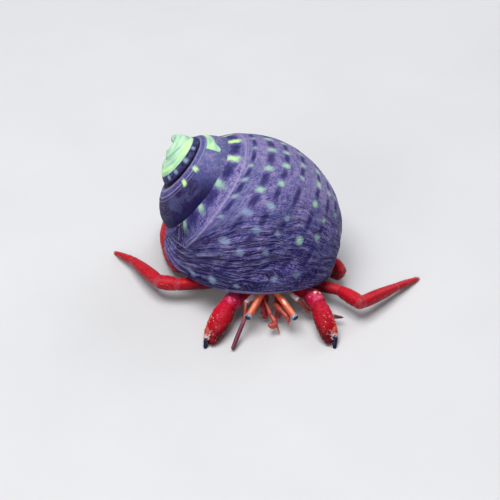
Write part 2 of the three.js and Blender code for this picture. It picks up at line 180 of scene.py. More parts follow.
@dataclass
class Surface:
    """Vertices and faces of one piece, with named values per vertex."""

    vertices: Array
    quads: Array
    triangles: Array
    values: dict[str, Array] = field(default_factory=dict)

    @staticmethod
    def closed_tube(rings: Array, values: Optional[dict[str, Array]] = None) -> "Surface":
        """Skins a stack of rings into one closed surface, with each end on the mean of its ring.

        Args:
            rings: points, shape (rings, sides, 3).
            values: named numbers per point, shape (rings, sides).

        Returns:
            The closed surface.
        """
        ends = np.stack([rings[0].mean(axis=0), rings[-1].mean(axis=0)])
        spread = {name: np.concatenate([grid.ravel(), [grid[0].mean(), grid[-1].mean()]])
                  for name, grid in (values or {}).items()}
        quads, triangles = tube_faces(*rings.shape[:2])
        return Surface(np.concatenate([rings.reshape(-1, 3), ends]), quads, triangles, spread).outwards()

    def outwards(self) -> "Surface":
        """Turns the faces over if the closed surface's signed volume is negative.

        The volume is the sum over triangles of a . (b x c) / 6.

        Returns:
            The surface itself.
        """
        split = np.concatenate([self.quads[:, [0, 1, 2]], self.quads[:, [0, 2, 3]], self.triangles])
        a, b, c = (self.vertices[split[:, k]] for k in range(3))
        if np.einsum("ij,ij->i", a, np.cross(b, c)).sum() < 0:
            self.quads = self.quads[:, ::-1]
            self.triangles = self.triangles[:, ::-1]
        return self

    @staticmethod
    def joined(parts: Sequence["Surface"]) -> "Surface":
        """Puts parts together; a value that a part lacks is 0 there.

        Args:
            parts: surfaces, with any values.

        Returns:
            One surface that holds them all.
        """
        names = {name for part in parts for name in part.values}
        starts = np.cumsum([0] + [len(part.vertices) for part in parts])[:-1]
        return Surface(
            np.concatenate([part.vertices for part in parts]),
            np.concatenate([part.quads + start for part, start in zip(parts, starts)]),
            np.concatenate([part.triangles + start for part, start in zip(parts, starts)]),
            {name: np.concatenate([part.values.get(name, np.zeros(len(part.vertices))) for part in parts])
             for name in names},
        )

    def to_object(self, name: str, material: Material) -> bpy.types.Object:
        """Makes the Blender mesh, smooth shaded, with each value as a point attribute.

        The values across and along, if there are any, become the corners' places on the unwrap.

        Args:
            name: the piece's name.
            material: its finish.

        Returns:
            The new object, at the origin, in the scene.
        """
        mesh = bpy.data.meshes.new(name)
        quads, triangles = len(self.quads), len(self.triangles)
        corners = np.concatenate([self.quads.ravel(), self.triangles.ravel()])
        starts = np.concatenate([np.arange(quads) * 4, quads * 4 + np.arange(triangles) * 3])
        above = np.maximum(self.vertices, (-np.inf, -np.inf, 0.0))
        mesh.vertices.add(len(above))
        mesh.vertices.foreach_set("co", PLACEMENT.metres(above).ravel().astype(np.float32))
        mesh.loops.add(len(corners))
        mesh.loops.foreach_set("vertex_index", corners.astype(np.int32))
        mesh.polygons.add(quads + triangles)
        mesh.polygons.foreach_set("loop_start", starts.astype(np.int32))
        mesh.polygons.foreach_set("use_smooth", np.ones(quads + triangles, dtype=bool))
        mesh.update(calc_edges=True)
        mesh.validate()
        if "across" in self.values and "along" in self.values:
            flat = np.stack([self.values["across"], self.values["along"]], axis=1)[corners]
            mesh.uv_layers.new(name="OFBake").data.foreach_set("uv", flat.ravel().astype(np.float32))
        for key, numbers in self.values.items():
            attribute = mesh.attributes.new(key, "FLOAT", "POINT")
            attribute.data.foreach_set("value", numbers.astype(np.float32))
        mesh.materials.append(material)
        piece = bpy.data.objects.new(name, mesh)
        bpy.context.scene.collection.objects.link(piece)
        return piece


def grid_normals(points: Array) -> Array:
    """Unit normals of a grid: the cross product of its differences along both directions.

    Args:
        points: shape (rows, columns, 3); the last column meets the first.

    Returns:
        Normals of the same shape; their side depends on the order of rows and columns.
    """
    down = np.gradient(points, axis=0)
    across = (np.roll(points, -1, axis=1) - np.roll(points, 1, axis=1)) / 2
    return unit(np.cross(across, down))


# ---- Shader building ----


class ShaderGraph:
    """Short names for the nodes that the finishes use; base is the colour laid so far."""

    def __init__(self, name: str) -> None:
        """Makes an empty node material with a Principled shader wired to its output.

        Args:
            name: the material's name.
        """
        self.material = bpy.data.materials.new(name)
        self.material.use_nodes = True
        self.tree = self.material.node_tree
        self.tree.nodes.clear()
        output = self.tree.nodes.new("ShaderNodeOutputMaterial")
        self.shader = self.tree.nodes.new("ShaderNodeBsdfPrincipled")
        self.tree.links.new(self.shader.outputs["BSDF"], output.inputs["Surface"])
        self.base: object = (0.0, 0.0, 0.0)

    def node(self, kind: str, inputs: dict, **settings) -> bpy.types.Node:
        """Adds a node, sets its properties, and fills or links its inputs.

        Args:
            kind: the node's type name after ShaderNode.
            inputs: socket name or number to a value or to another node's socket.
            settings: properties of the node.

        Returns:
            The node.
        """
        made = self.tree.nodes.new("ShaderNode" + kind)
        for key, value in settings.items():
            setattr(made, key, value)
        for key, value in inputs.items():
            self.feed(made.inputs[key], value)
        return made

    def feed(self, socket: Socket, value: object) -> None:
        """Links a socket to another, or sets its constant.

        Args:
            socket: the input to fill.
            value: another node's socket, a colour or a number.
        """
        if isinstance(value, Socket):
            self.tree.links.new(value, socket)
        elif isinstance(value, tuple) and len(value) == 3 and socket.type == "RGBA":
            socket.default_value = (*value, 1.0)
        else:
            socket.default_value = value

    def value(self, name: str) -> Socket:
        """The named number that the mesh carries at each point."""
        return self.node("Attribute", {}, attribute_name=name).outputs["Fac"]

    def place(self) -> Socket:
        """Object coordinates, in metres."""
        return self.node("TexCoord", {}).outputs["Object"]

    def math(self, operation: str, *numbers: object) -> Socket:
        """One arithmetic step on numbers or sockets."""
        return self.node("Math", dict(enumerate(numbers)), operation=operation).outputs[0]

    def times(self, *factors: object) -> Socket:
        """Product of numbers or sockets."""
        return reduce(lambda product, factor: self.math("MULTIPLY", product, factor), factors)

    def plus(self, start: object, *terms: tuple[object, object]) -> Socket:
        """Sum of the start and of each term's number times its weight."""
        return reduce(lambda total, term: self.math("MULTIPLY_ADD", *term, total), terms, start)

    def vector(self, x: object, y: object, z: object = 0.0) -> Socket:
        """A vector joined from three numbers or sockets."""
        return self.node("CombineXYZ", {0: x, 1: y, 2: z}).outputs[0]

    def noise(self, at: object, scale: float, detail: float = 3.0, rough: float = 0.55) -> Socket:
        """Fractal noise between about 0 and 1."""
        inputs = {"Vector": at, "Scale": scale, "Detail": detail, "Roughness": rough}
        return self.node("TexNoise", inputs).outputs["Fac"]

    def cells(self, at: object, scale: float, smooth: float = 0.4) -> Socket:
        """Distance to the nearest of many scattered points, softened."""
        inputs = {"Vector": at, "Scale": scale, "Smoothness": smooth}
        return self.node("TexVoronoi", inputs, feature="SMOOTH_F1").outputs["Distance"]

    def rise(self, number: object, low: float, high: float) -> Socket:
        """Smooth rise from 0 at low to 1 at high; a fall if low is above high."""
        ends = {1: low, 2: high, 3: 0.0, 4: 1.0} if low < high else {1: high, 2: low, 3: 1.0, 4: 0.0}
        return self.node("MapRange", {0: number, **ends}, interpolation_type="SMOOTHSTEP").outputs[0]

    def mix(self, factor: object, first: object, second: object) -> Socket:
        """Colour blend from the first to the second."""
        blend = self.node("Mix", {"Factor": factor, 6: first, 7: second}, data_type="RGBA")
        return blend.outputs[2]

    def ramp(self, factor: object, stops: Sequence[tuple[float, Colour]]) -> Socket:
        """Colour that passes through stops.

        Args:
            factor: what drives it.
            stops: rising places and their colours, straight between them.

        Returns:
            The colour's socket.
        """
        made = self.node("ValToRGB", {0: factor})
        elements = made.color_ramp.elements
        while len(elements) < len(stops):
            elements.new(0.5)
        for element, (position, colour) in zip(elements, stops):
            element.position = position
            element.color = (*colour, 1.0)
        return made.outputs[0]

    def tint(self, colour: object, *factors: object) -> None:
        """Blends a colour over the base by the product of the factors."""
        self.base = self.mix(self.times(*factors), self.base, colour)

    def lay(self, colour: object, number: object, low: float, high: float, share: object = 1.0) -> None:
        """Lays a colour over the base where a number rises from low to high, at most by the share."""
        self.tint(colour, self.rise(number, low, high), share)

    def bump(self, height: object, strength: float, distance: float) -> Socket:
        """Surface normal tilted by a height, whose unit is the distance in metres."""
        inputs = {"Strength": strength, "Distance": distance, "Height": height}
        return self.node("Bump", inputs).outputs["Normal"]

    def finish(self, **sockets: object) -> Material:
        """Fills the shader's sockets.

        Args:
            sockets: values or sockets, named with _ for spaces; the colour is the base.

        Returns:
            The material.
        """
        for key, value in {"Base_Color": self.base, **sockets}.items():
            self.feed(self.shader.inputs[key.replace("_", " ")], value)
        return self.material


class Finish(Protocol):
    """Anything that can make a material."""

    def material(self) -> Material:
        """Makes the material once and gives the same one after that."""


@dataclass
class Skin:
    """One piece to be made: its skin, its finish, its record slot and the node that it replaces."""

    name: str
    surface: Surface
    finish: Finish
    slot: str
    node: str = ""

    def build(self) -> bpy.types.Object:
        """Makes the piece, which rides with the animal, and hides the imported part that it replaces.

        Returns:
            The finished piece.
        """
        piece = self.surface.to_object(self.name, self.finish.material())
        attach(piece, "root")
        if self.node:
            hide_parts(self.node)
        return piece


# ---- Shell ----


@dataclass(frozen=True)
class Spiral:
    """The shell's tube: a tilted rounded section that grows as it turns about the shell's axis."""

    apex: Point = (-12.96, 9.89, 19.76)
    axis_elevation: float = 44.1
    axis_azimuth: float = 169.7
    growth_per_turn: float = 1.767
    start_angle: float = 4.9
    section_radius: float = 8.01
    section_drop: float = 20.31
    half_width: float = 6.61
    half_height: float = 11.87
    section_tilt: float = -12.8
    squareness: float = 1.745
    lean: Point = (0.95, 0.30, 0.15)
    lean_full_turn: float = -1150.0
    lean_none_turn: float = -430.0
    lip_height: float = 4.28
    lip_slope: float = 0.1944
    last_turn: float = 62.0

    def axes(self) -> tuple[Array, Array, Array]:
        """Directions of the shell's axis: side is up x spire, and back is spire x side.

        Returns:
            Unit vectors towards the spire, to the side and to the back.
        """
        elevation, azimuth = math.radians(self.axis_elevation), math.radians(self.axis_azimuth)
        spire = np.array([math.cos(elevation) * math.cos(azimuth),
                          math.cos(elevation) * math.sin(azimuth), math.sin(elevation)])
        side = unit(np.cross([0.0, 0.0, 1.0], spire))
        return spire, side, np.cross(spire, side)

    def growth(self, turn: Array) -> Array:
        """Size of the tube at a turn, against its size at turn 0: a power of the turn."""
        return self.growth_per_turn ** (np.asarray(turn, float) / 360.0)

    def section(self, around: Array, inset: Array | float = 0.0) -> tuple[Array, Array]:
        """Distance from the axis and drop below the apex of the section at turn 0.

        The section is a superellipse: its half sizes times the signed power 2 / squareness of the
        cosine and sine of the angle, turned by the tilt.

        Args:
            around: angle about the section, in radians.
            inset: how far inside the outer surface, in millimetres at turn 0.

        Returns:
            Radius and drop, in millimetres.
        """
        power = 2.0 / self.squareness
        tilt = math.radians(self.section_tilt)
        across = np.sign(np.cos(around)) * np.abs(np.cos(around)) ** power * (self.half_width - inset)
        along = np.sign(np.sin(around)) * np.abs(np.sin(around)) ** power * (self.half_height - inset)
        radius = self.section_radius + across * math.cos(tilt) - along * math.sin(tilt)
        drop = self.section_drop + across * math.sin(tilt) + along * math.cos(tilt)
        return radius, drop

    def point(self, turn: Array, around: Array, inset: Array | float = 0.0) -> Array:
        """Points of the tube's surface.

        Args:
            turn: growth angle about the axis, in degrees; 0 is near the lip.
            around: angle about the section, in radians.
            inset: how far inside the outer surface, in millimetres at turn 0.

        Returns:
            Points: apex + lean + growth * (radius about the axis, drop along it).
        """
        spire, side, back = self.axes()
        radius, drop = self.section(around, inset)
        growth = self.growth(turn)
        angle = np.radians(np.asarray(turn, float) + self.start_angle)
        lean = rise(-np.asarray(turn, float), -self.lean_none_turn, -self.lean_full_turn)
        return (np.array(self.apex) + np.array(self.lean) * lean[..., None]
                + side * (growth * radius * np.cos(angle))[..., None]
                - back * (growth * radius * np.sin(angle))[..., None]
                - spire * (growth * drop)[..., None])

    def lip_turn(self, around: Array) -> Array:
        """Turn at which each line along the tube meets the lip's plane.

        Each line is stepped along in quarter degrees, and the crossing is found by linear
        interpolation; a line that never crosses ends at the last turn.

        Args:
            around: angles about the section, in radians.

        Returns:
            One turn for each angle, in degrees.
        """
        turns = np.arange(-75.0, self.last_turn, 0.25)
        line = self.point(turns[:, None], around[None, :])
        height = line[..., 2] - (self.lip_height - self.lip_slope * line[..., 1])
        below = height < 0
        index = np.clip(below.argmax(axis=0), 1, None)
        column = np.arange(len(around))
        over, under = height[index - 1, column], height[index, column]
        crossing = turns[index - 1] + (turns[index] - turns[index - 1]) * over / (over - under)
        return np.where(below.any(axis=0), np.minimum(crossing, self.last_turn), self.last_turn)

    def covered(self, turn: Array, around: Array) -> Array:
        """How deep a surface point lies inside the next whorl: above 0 where that hides it.

        Args:
            turn: growth angle of the point, in degrees.
            around: its angle about its own section, in radians.

        Returns:
            1 minus the superellipse value of the point in the section one turn on.
        """
        radius, drop = self.section(around)
        tilt = math.radians(self.section_tilt)
        offset_r = radius / self.growth_per_turn - self.section_radius
        offset_d = drop / self.growth_per_turn - self.section_drop
        across = offset_r * math.cos(tilt) + offset_d * math.sin(tilt)
        along = -offset_r * math.sin(tilt) + offset_d * math.cos(tilt)
        value = (np.abs(across / self.half_width) ** self.squareness
                 + np.abs(along / self.half_height) ** self.squareness)
        return np.broadcast_to(1.0 - value, np.broadcast_shapes(np.shape(turn), np.shape(around)))


@dataclass(frozen=True)
class SpotRow:
    """A row of pale spots, with dark squares between them, at one angle round the tube.

    The seen spots stand at the given turns; more follow round the shell at the spacing, unless it
    is 0. Length and width are a spot's half sizes, in millimetres, and paling is how much the
    spots fade, most at their outer edge, as they come near the lip.
    """

    angle: float
    turns: tuple[float, ...]
    length: float
    width: float
    strength: float = 1.0
    spacing: float = 17.0
    paling: float = 0.0


@dataclass(frozen=True)
class ShellFinish:
    """Purple, beaded shell with mint spots and a worn mint spire; pearl inside."""

    # navy is the darkest ground colour, and also the painted shade in the furrows and where the whorls meet.
    navy: Colour = (0.006, 0.004, 0.052)
    indigo: Colour = (0.034, 0.028, 0.180)
    violet: Colour = (0.105, 0.095, 0.30)
    lilac: Colour = (0.28, 0.24, 0.46)
    # pale also serves as the painted highlight on ridge and fold crests and on the waves.
    pale: Colour = (0.36, 0.33, 0.56)
    rose: Colour = (0.34, 0.24, 0.40)
    slate: Colour = (0.085, 0.125, 0.30)
    mint: Colour = (0.40, 0.70, 0.45)
    lime: Colour = (0.59, 0.92, 0.36)
    foam: Colour = (0.56, 0.80, 0.56)
    shade: Colour = (0.30, 0.52, 0.42)
    faded_spot: Colour = (0.25, 0.32, 0.51)
    # groove is the painted shade at the bottom of the suture grooves.
    groove: Colour = (0.004, 0.002, 0.020)
    pearl: Colour = (0.62, 0.60, 0.58)

    @cache
    def material(self) -> Material:
        """Makes the material, layer by layer, from the values that the shell's mesh carries.

        Returns:
            The material.
        """
        skin = ShellSkin(self)
        for layer in (skin.weave, skin.bands, skin.spots, skin.wear):
            layer()
        rough = skin.plus(0.42, (skin.beads, 0.25))
        return skin.finish(Roughness=rough, Normal=skin.relief(), Specular_IOR_Level=0.08)


class ShellSkin(ShaderGraph):
    """The shell's material under way, with its noise laid along the growth lines.

    The mesh's values growth, in degrees, and across, in millimetres, are its coordinates.
    """

    def __init__(self, colours: ShellFinish) -> None:
        """Bends the growth lines a little and makes the noise that several layers share.

        Args:
            colours: the finish that is being made.
        """
        super().__init__("shell_finish")
        self.colours = colours
        growth, self.across = self.value("growth"), self.value("across")
        sway = self.noise(self.vector(self.times(growth, 0.035), self.times(self.across, 0.15)), 1.0, 2.0)
        self.growth = self.plus(growth, (sway, 16.0))
        self.lamella = self.value("lamella")
        self.beads, self.striae = self.grain(0.95, 2.4), self.grain(0.6, 0.6, 4.0)
        self.waves = self.grain(0.22, 0.10)
        self.mottle = self.noise(self.place(), 1500.0, 4.0, 0.65)
        self.ragged = self.plus(-0.75, (self.beads, 1.5))
        self.furrows = self.math("MAXIMUM", self.line(self.grain(0.20, 0.09, 2.0, 7.3), 0.035),
                                 self.line(self.grain(0.45, 0.15, 2.0, 3.1), 0.03))
        self.worn = self.plus(self.value("worn"), (self.ragged, 0.40))

    def grain(self, along: float, over: float, detail: float = 2.0, offset: float = 0.0) -> Socket:
        """Noise with its cell rates per degree of growth and per millimetre across."""
        at = self.vector(self.plus(offset, (self.growth, along)), self.times(self.across, over))
        return self.noise(at, 1.0, detail, 0.62)

    def line(self, noise: Socket, width: float) -> Socket:
        """Thin wavy line where a noise passes through its middle value."""
        away = self.math("ABSOLUTE", self.math("SUBTRACT", noise, 0.5))
        return self.rise(away, width, width * 0.25)

    def weave(self) -> None:
        """Lays the ground: beads, threads, striae and blotches from navy to lilac, with flecks."""
        c = self.colours
        blotches = self.times(self.plus(-0.49, (self.grain(0.30, 0.30, 3.0, 13.0), 1.0)), self.lamella)
        # The ground's level takes in painted shade on the last whorl but one.
        level = self.plus(0.0, (self.beads, 0.341), (self.value("thread"), 0.062), (self.striae, 0.2356),
                          (self.mottle, 0.403), (self.grain(0.26, 1.1, 3.0, 9.0), 0.527),
                          (blotches, 1.488), (self.value("tone"), 0.31))
        self.base = self.ramp(level, [(0.46, c.navy), (0.62, c.indigo), (0.76, c.violet), (0.90, c.lilac)])
        self.lay(c.slate, self.grain(0.05, 0.35, 3.0), 0.45, 0.62, 0.4)
        self.lay(c.slate, self.mottle, 0.62, 0.40, self.value("slate"))
        flecks = self.grain(2.1, 3.3, 2.0, 5.0)
        self.lay(c.rose, flecks, 0.53, 0.68, 0.75)
        self.lay(c.navy, flecks, 0.47, 0.32, 0.75)

    def bands(self) -> None:
        """Lays the dark squares, the cords, the pale lines and highlights, painted shade in the furrows and
        painted highlights on the waves at the lip.
        """
        c = self.colours
        dark = self.plus(self.value("dark"), (self.ragged, 1.0))
        self.lay(c.indigo, dark, -0.30, 0.45, 0.62)
        self.lay(c.navy, dark, 0.10, 0.60, 0.55)
        self.lay(c.lilac, self.plus(self.value("cord"), (self.beads, 0.6)), 0.75, 1.3, 0.62)
        # Pale lines, and painted highlights on ridge and fold crests.
        self.lay(c.pale, self.plus(self.value("stripe"), (self.ragged, 0.8)), 0.25, 0.95, 0.6)
        # Painted shade in the furrows by the lip.
        self.tint(c.navy, self.lamella, self.furrows, 0.85)
        # Painted highlight along the raised waves by the lip.
        self.tint(c.pale, self.lamella, self.line(self.waves, 0.022), 0.35)
        self.tint(c.pale, self.value("edge"), 0.6)

    def spots(self) -> None:
        """Lays the spots, from lime through mint to a faded blue, then painted shade where the whorls meet
        and in the grooves, and navy on the lip's rounded edge.
        """
        c, fade, spot = self.colours, self.value("fade"), self.value("spot")
        colour = self.mix(fade, self.mix(self.rise(spot, 0.95, 1.15), c.mint, c.lime), c.faded_spot)
        edge = self.plus(self.value("mint"), (self.ragged, 1.0))
        self.lay(colour, edge, -0.55, 0.75, self.times(spot, self.plus(1.0, (fade, 0.35))))
        # Painted shade where the whorls meet; the same value also colours the lip's rounded edge navy.
        self.tint(c.navy, self.value("crease"))
        # Painted shade at the bottom of the grooves.
        self.lay(c.groove, self.value("groove"), 0.2, 0.7)

    def wear(self) -> None:
        """Lays the worn mint of the spire, streaked along its whorls, and the pearl inside."""
        c, streaks = self.colours, self.grain(0.012, 0.24)
        colour = self.ramp(streaks, [(0.36, c.shade), (0.46, c.mint), (0.60, c.foam)])
        limed = self.plus(-1.0, (streaks, 2.0), (self.value("lime"), 1.0))
        self.lay(self.mix(self.rise(limed, 0.2, 0.9), colour, c.lime), self.worn, 0.36, 0.62)
        self.lay(c.pearl, self.value("inside"), 0.3, 0.7)

    def relief(self) -> Socket:
        """Height as the sum of beads, striae, mottle, waves and furrows, smooth where worn.

        Returns:
            The surface normal.
        """
        height = self.plus(0.0, (self.beads, 0.5), (self.striae, 0.5), (self.mottle, 0.8),
                           (self.times(self.line(self.waves, 0.05), self.lamella), 0.9),
                           (self.times(self.furrows, self.lamella), -1.6))
        return self.bump(self.times(height, self.rise(self.worn, 0.75, 0.4)), 0.75, 0.00016)


@dataclass
class Zones:
    """Where points of the shell lie: coordinates, and fields from 0 to 1 for its regions.

    Degrees is the angle about the section, line the growth-line number, behind the degrees of
    turn left before the lip, and seam how deep the next whorl covers the point.
    """

    turn: Array
    degrees: Array
    across: Array
    line: Array
    behind: Array
    seam: Array
    penultimate: Array
    third: Array
    near_lip: Array
    patch: Array
    worn: Array

    @property
    def second(self) -> Array:
        """The last whorl but one."""
        return self.penultimate * (1.0 - self.third)

    @property
    def lower_left(self) -> Array:
        """The part of that whorl that comes down to the lip."""
        return rise(self.turn, -428.0, -372.0)

    @property
    def rough(self) -> Array:
        """How much of the relief is left by wear."""
        return (1.0 - self.worn) * (1.0 - 0.4 * self.penultimate)


@dataclass
class Shell:
    """The whole shell: its whorls, lip, hollow and worn tip."""

    spiral: Spiral = field(default_factory=Spiral)
    finish: ShellFinish = field(default_factory=ShellFinish)
    ripple: SmoothNoise = field(default_factory=lambda: SmoothNoise(3))
    lump: SmoothNoise = field(default_factory=lambda: SmoothNoise(11))
    wave: SmoothNoise = field(default_factory=lambda: SmoothNoise(19))
    first_turn: float = -1260.0
    body_from: float = -330.0
    cavity_to: float = -165.0
    wall: float = 0.9
    sides: int = 270
    body_rings: int = 312
    spire_rings: int = 420
    spire_sides: int = 200
    inner_rings: int = 26
    thread_pitch: float = 0.46
    thread_height: float = 0.055
    ridge_height: float = 0.24
    fold_pitch: float = 7.5
    fold_height: float = 0.12
    fold_angles: tuple[float, ...] = (-62.5, -56.0, -49.0, -42.5, -36.0, -29.0)
    fold_turns: tuple[float, ...] = (51.5, 38.5, 28.5, 20.0, 11.5, 1.5)
    stripe_turns: tuple[float, ...] = (-100.0, -77.0, -50.0, -25.0, 11.0)
    stripe_angles: tuple[float, ...] = (-51.0, -49.2, -47.6, -46.8, -45.0)
    groove_depth: float = 0.55
    cord_angles: tuple[float, ...] = (-62.5, -53.5, -48.0)
    cord_heights: tuple[float, ...] = (0.06, 0.07, 0.12)
    cord_width: float = 0.95
    rows: tuple[SpotRow, ...] = (
        SpotRow(-62.0, (-110.0, -79.0, -46.0, -16.0, 10.0), 0.86, 1.08, 1.15, 31.0, 0.6),
        SpotRow(-42.5, (-98.0, -75.5, -61.0, -45.5, -26.5), 0.42, 0.42, 0.6),
        SpotRow(-28.0, (-100.0, -79.0, -60.0, -42.0, -18.0, 18.5), 0.58, 0.72, 0.9),
        SpotRow(-14.5, (-102.5, -88.0, -72.0, -54.5, -37.5, -21.0, 5.0), 0.5, 0.55, 0.8),
        SpotRow(4.0, (-97.0, -85.0, -54.5, -44.0, -31.5, -5.5), 0.42, 0.48, 0.6),
        SpotRow(22.5, (-104.5, -91.0, -75.0, -49.5, -24.0), 0.55, 0.5, 0.85),
        SpotRow(35.5, (-93.0, -70.5, -58.5, -34.0), 0.5, 0.42, 0.6),
        SpotRow(47.0, (-82.0,), 0.5, 0.45, 0.5),
        SpotRow(66.0, (-80.0,), 0.6, 0.5, 0.35),
        SpotRow(-51.0, (-376.0, -402.0), 0.95, 1.05, 1.3, 0.0),
        SpotRow(-33.0, (-662.0, -700.0, -724.0, -757.0, -790.0), 1.15, 1.1, 0.9, 0.0),
    )
    spot_lean: float = 0.25

    def angles(self, count: int) -> Array:
        """Angles about the section, closer together on the outer face than on the hidden inner one.

        The share of each angle is its weight (1 outside, 0.22 inside), summed and cut evenly.

        Args:
            count: number of angles.

        Returns:
            Rising angles over one full turn, in radians.
        """
        fine = np.linspace(-np.pi, np.pi, 2881)
        degrees = np.degrees(fine)
        shown = rise(degrees, -84.0, -70.0) * rise(degrees, 128.0, 96.0)
        weight = 0.22 + shown * (0.45 + 0.8 * np.cos(np.clip(fine * 0.8, -1.4, 1.4)))
        total = np.concatenate([[0.0], np.cumsum((weight[1:] + weight[:-1]) / 2)])
        return np.interp(np.arange(count) / count * total[-1], total, fine)

    def across(self, around: Array) -> Array:
        """Path length about the section from angle 0, in millimetres at turn 0.

        Args:
            around: angles about the section, in radians.

        Returns:
            The sum of the section's small steps up to each angle.
        """
        fine = np.linspace(-np.pi, np.pi, 5761)
        radius, drop = self.spiral.section(fine)
        steps = np.hypot(np.diff(radius), np.diff(drop))
        path = np.concatenate([[0.0], np.cumsum(steps)])
        return np.interp(around, fine, path - np.interp(0.0, fine, path))

    def growth_line(self, turn: Array, around: Array) -> Array:
        """Number that is the same all along one growth line, in degrees.

        Close to the lip the lines run parallel to it, so the lip's own turn is taken off; further
        back they straighten, so its share falls from 1 to 0.2.

        Args:
            turn: growth angle, in degrees.
            around: angle about the section, in radians.

        Returns:
            Turn minus share times the lip's lead over the outer edge's.
        """
        lead = self.spiral.lip_turn(around) - self.spiral.lip_turn(np.array([0.0]))
        share = 0.2 + 0.8 * rise(turn, -125.0, 5.0)
        return turn - share * lead[None, :]

    def spots(self, turn: Array, around: Array, line: Array) -> dict[str, Array]:
        """Fields of the pale spots and dark squares: above 0 inside one, with a smooth fall.

        Each spot is 1 minus the fourth-power norm of the offset along and across, in half sizes.
        The seen rows use their own turns, and go on round the shell at their spacing.

        Args:
            turn: growth angle, in degrees.
            around: angle about the section, in radians.
            line: growth-line number of each point.

        Returns:
            Fields named mint, dark and spot (the strength of the nearest spot).
        """
        per_degree = math.radians(1.0) * (self.spiral.section_radius + self.spiral.half_width)
        across = self.across(around)
        mint, dark = np.full(turn.shape, -2.0), np.full(turn.shape, -2.0)
        spot = np.zeros(turn.shape)
        chance = np.random.default_rng(7)
        for row in self.rows:
            column = int(np.abs(around - math.radians(row.angle)).argmin())
            shear = self.spot_lean * ((line - turn) - (line - turn)[:, column][:, None])
            beyond = np.arange(row.turns[0] - row.spacing, -285.0, -row.spacing or -1.0)
            beyond = beyond + chance.uniform(-0.2, 0.2, len(beyond)) * row.spacing
            turns = sorted([*row.turns, *beyond])
            side = (across - self.across(np.array([math.radians(row.angle)])))[None, :] / row.width
            outer = 0.35 + 0.85 * rise(side, -0.4, 0.8)
            for index, place in enumerate(turns):
                size = chance.uniform(0.85, 1.15)
                along = (turn + shear - place) * per_degree / (row.length * size)
                inside = 1.0 - (along ** 4 + (side / size) ** 4) ** 0.25
                strength = row.strength * chance.uniform(0.8, 1.0)
                strength = strength * (1.0 - row.paling * outer * rise(place, -70.0, -40.0))
                spot = np.where(inside > mint, strength, spot)
                mint = np.maximum(mint, inside)
                if row.spacing and index + 1 < len(turns):
                    middle = (place + turns[index + 1]) / 2
                    half = (turns[index + 1] - place) * per_degree * 0.34
                    along = (turn + shear - middle) * per_degree / half
                    dark = np.maximum(dark, 1.0 - (along ** 4 + (side * 1.05) ** 4) ** 0.25)
        return {"mint": mint, "dark": dark, "spot": spot}

    def zones(self, turn: Array, around: Array) -> Zones:
        """Finds where points lie among the shell's regions, whose edges are smooth steps.

        Args:
            turn: growth angle, in degrees, shape (rings, sides).
            around: angle about the section, in radians, shape (sides,).

        Returns:
            The coordinates and regions of the points.
        """
        degrees = np.degrees(around)[None, :] + np.zeros_like(turn)
        behind = self.spiral.lip_turn(around)[None, :] - turn
        third = rise(turn, -610.0, -640.0)
        right_side = np.interp(turn, (-482.0, -460.0, -454.0, -447.5), (-40.5, -38.0, -33.5, -28.5))
        patch = (rise(turn, -438.0, -446.0) * rise(turn, -540.0, -525.0)
                 * rise(degrees, -54.0, -49.0) * rise(degrees - right_side, 2.0, -2.5))
        worn = np.maximum(third * rise(degrees, -36.5, -43.0), rise(turn, -860.0, -900.0))
        return Zones(
            turn, degrees, self.across(around)[None, :] + np.zeros_like(turn), self.growth_line(turn, around),
            behind, self.spiral.covered(turn, around[None, :]), rise(turn, -225.0, -290.0), third,
            rise(behind, 78.0, 30.0) * rise(turn, 36.0, 20.0), patch, worn)

    def threads(self, z: Zones) -> Array:
        """Threads that run along the whorls: a cosine of the path across, broken into beads.

        Args:
            z: places of the points.

        Returns:
            1 on a bead and 0 between threads, less where worn or near the lip.
        """
        beat = 0.5 + 0.5 * self.ripple(z.line / 2.1, z.across * 1.3)
        phase = 2 * np.pi * z.across / self.thread_pitch + 0.8 * self.wave(z.line / 9, z.across / 3)
        return (0.5 + 0.5 * np.cos(phase)) * (0.15 + 0.85 * beat) * z.rough * (1.0 - 0.6 * z.near_lip)

    def ridges(self, z: Zones) -> Array:
        """Growth ridges: long noise of a growth-line number that wobbles across the whorl.

        Args:
            z: places of the points.

        Returns:
            Numbers between -1 and 1.
        """
        wobble = 4.0 * self.wave(z.across / 5.5, z.line / 16) + 1.6 * self.wave(z.across / 1.9, z.line / 7)
        line = z.line + wobble
        return 0.8 * self.ripple(line / 5.5, z.across / 6) + 0.2 * self.ripple(line / 2.4, z.across / 2.5)

    def folds(self, z: Zones) -> Array:
        """Folds fanned out where the lip meets the whorl above: a cosine of a bent turn.

        Args:
            z: places of the points.

        Returns:
            1 on a fold's crest and 0 between them and elsewhere.
        """
        fold = z.turn - np.interp(z.degrees, self.fold_angles, self.fold_turns)
        phase = 2 * np.pi * fold / self.fold_pitch + 0.9 * self.wave(z.across / 2, z.line / 20)
        folds = rise(np.cos(phase), 0.1, 0.95)
        folds *= rise(z.turn, 3.0, 15.0) * rise(z.degrees, -25.0, -33.0)
        return folds * rise(z.degrees, -66.0, -62.0) * rise(fold, -13.0, -8.0)

    def tone(self, z: Zones) -> Array:
        """How light the ground is, as a sum of soft regions, with painted shade on the low part of the last
        whorl but one.

        Args:
            z: places of the points.

        Returns:
            The lightness, to be added to the shader's noise.
        """
        degrees, turn, second = z.degrees, z.turn, z.second
        tone = 0.14 + 0.06 * rise(degrees, -20.0, -45.0) * rise(z.line, -20.0, -80.0)
        tone -= (0.30 * hump(degrees, -60.0, 6.0) + 0.18 * hump(degrees, -44.0, 6.0)) * (1.0 - z.penultimate)
        tone -= 0.48 * z.near_lip + 0.20 * rise(turn, -25.0, 15.0) * rise(turn, 60.0, 25.0)
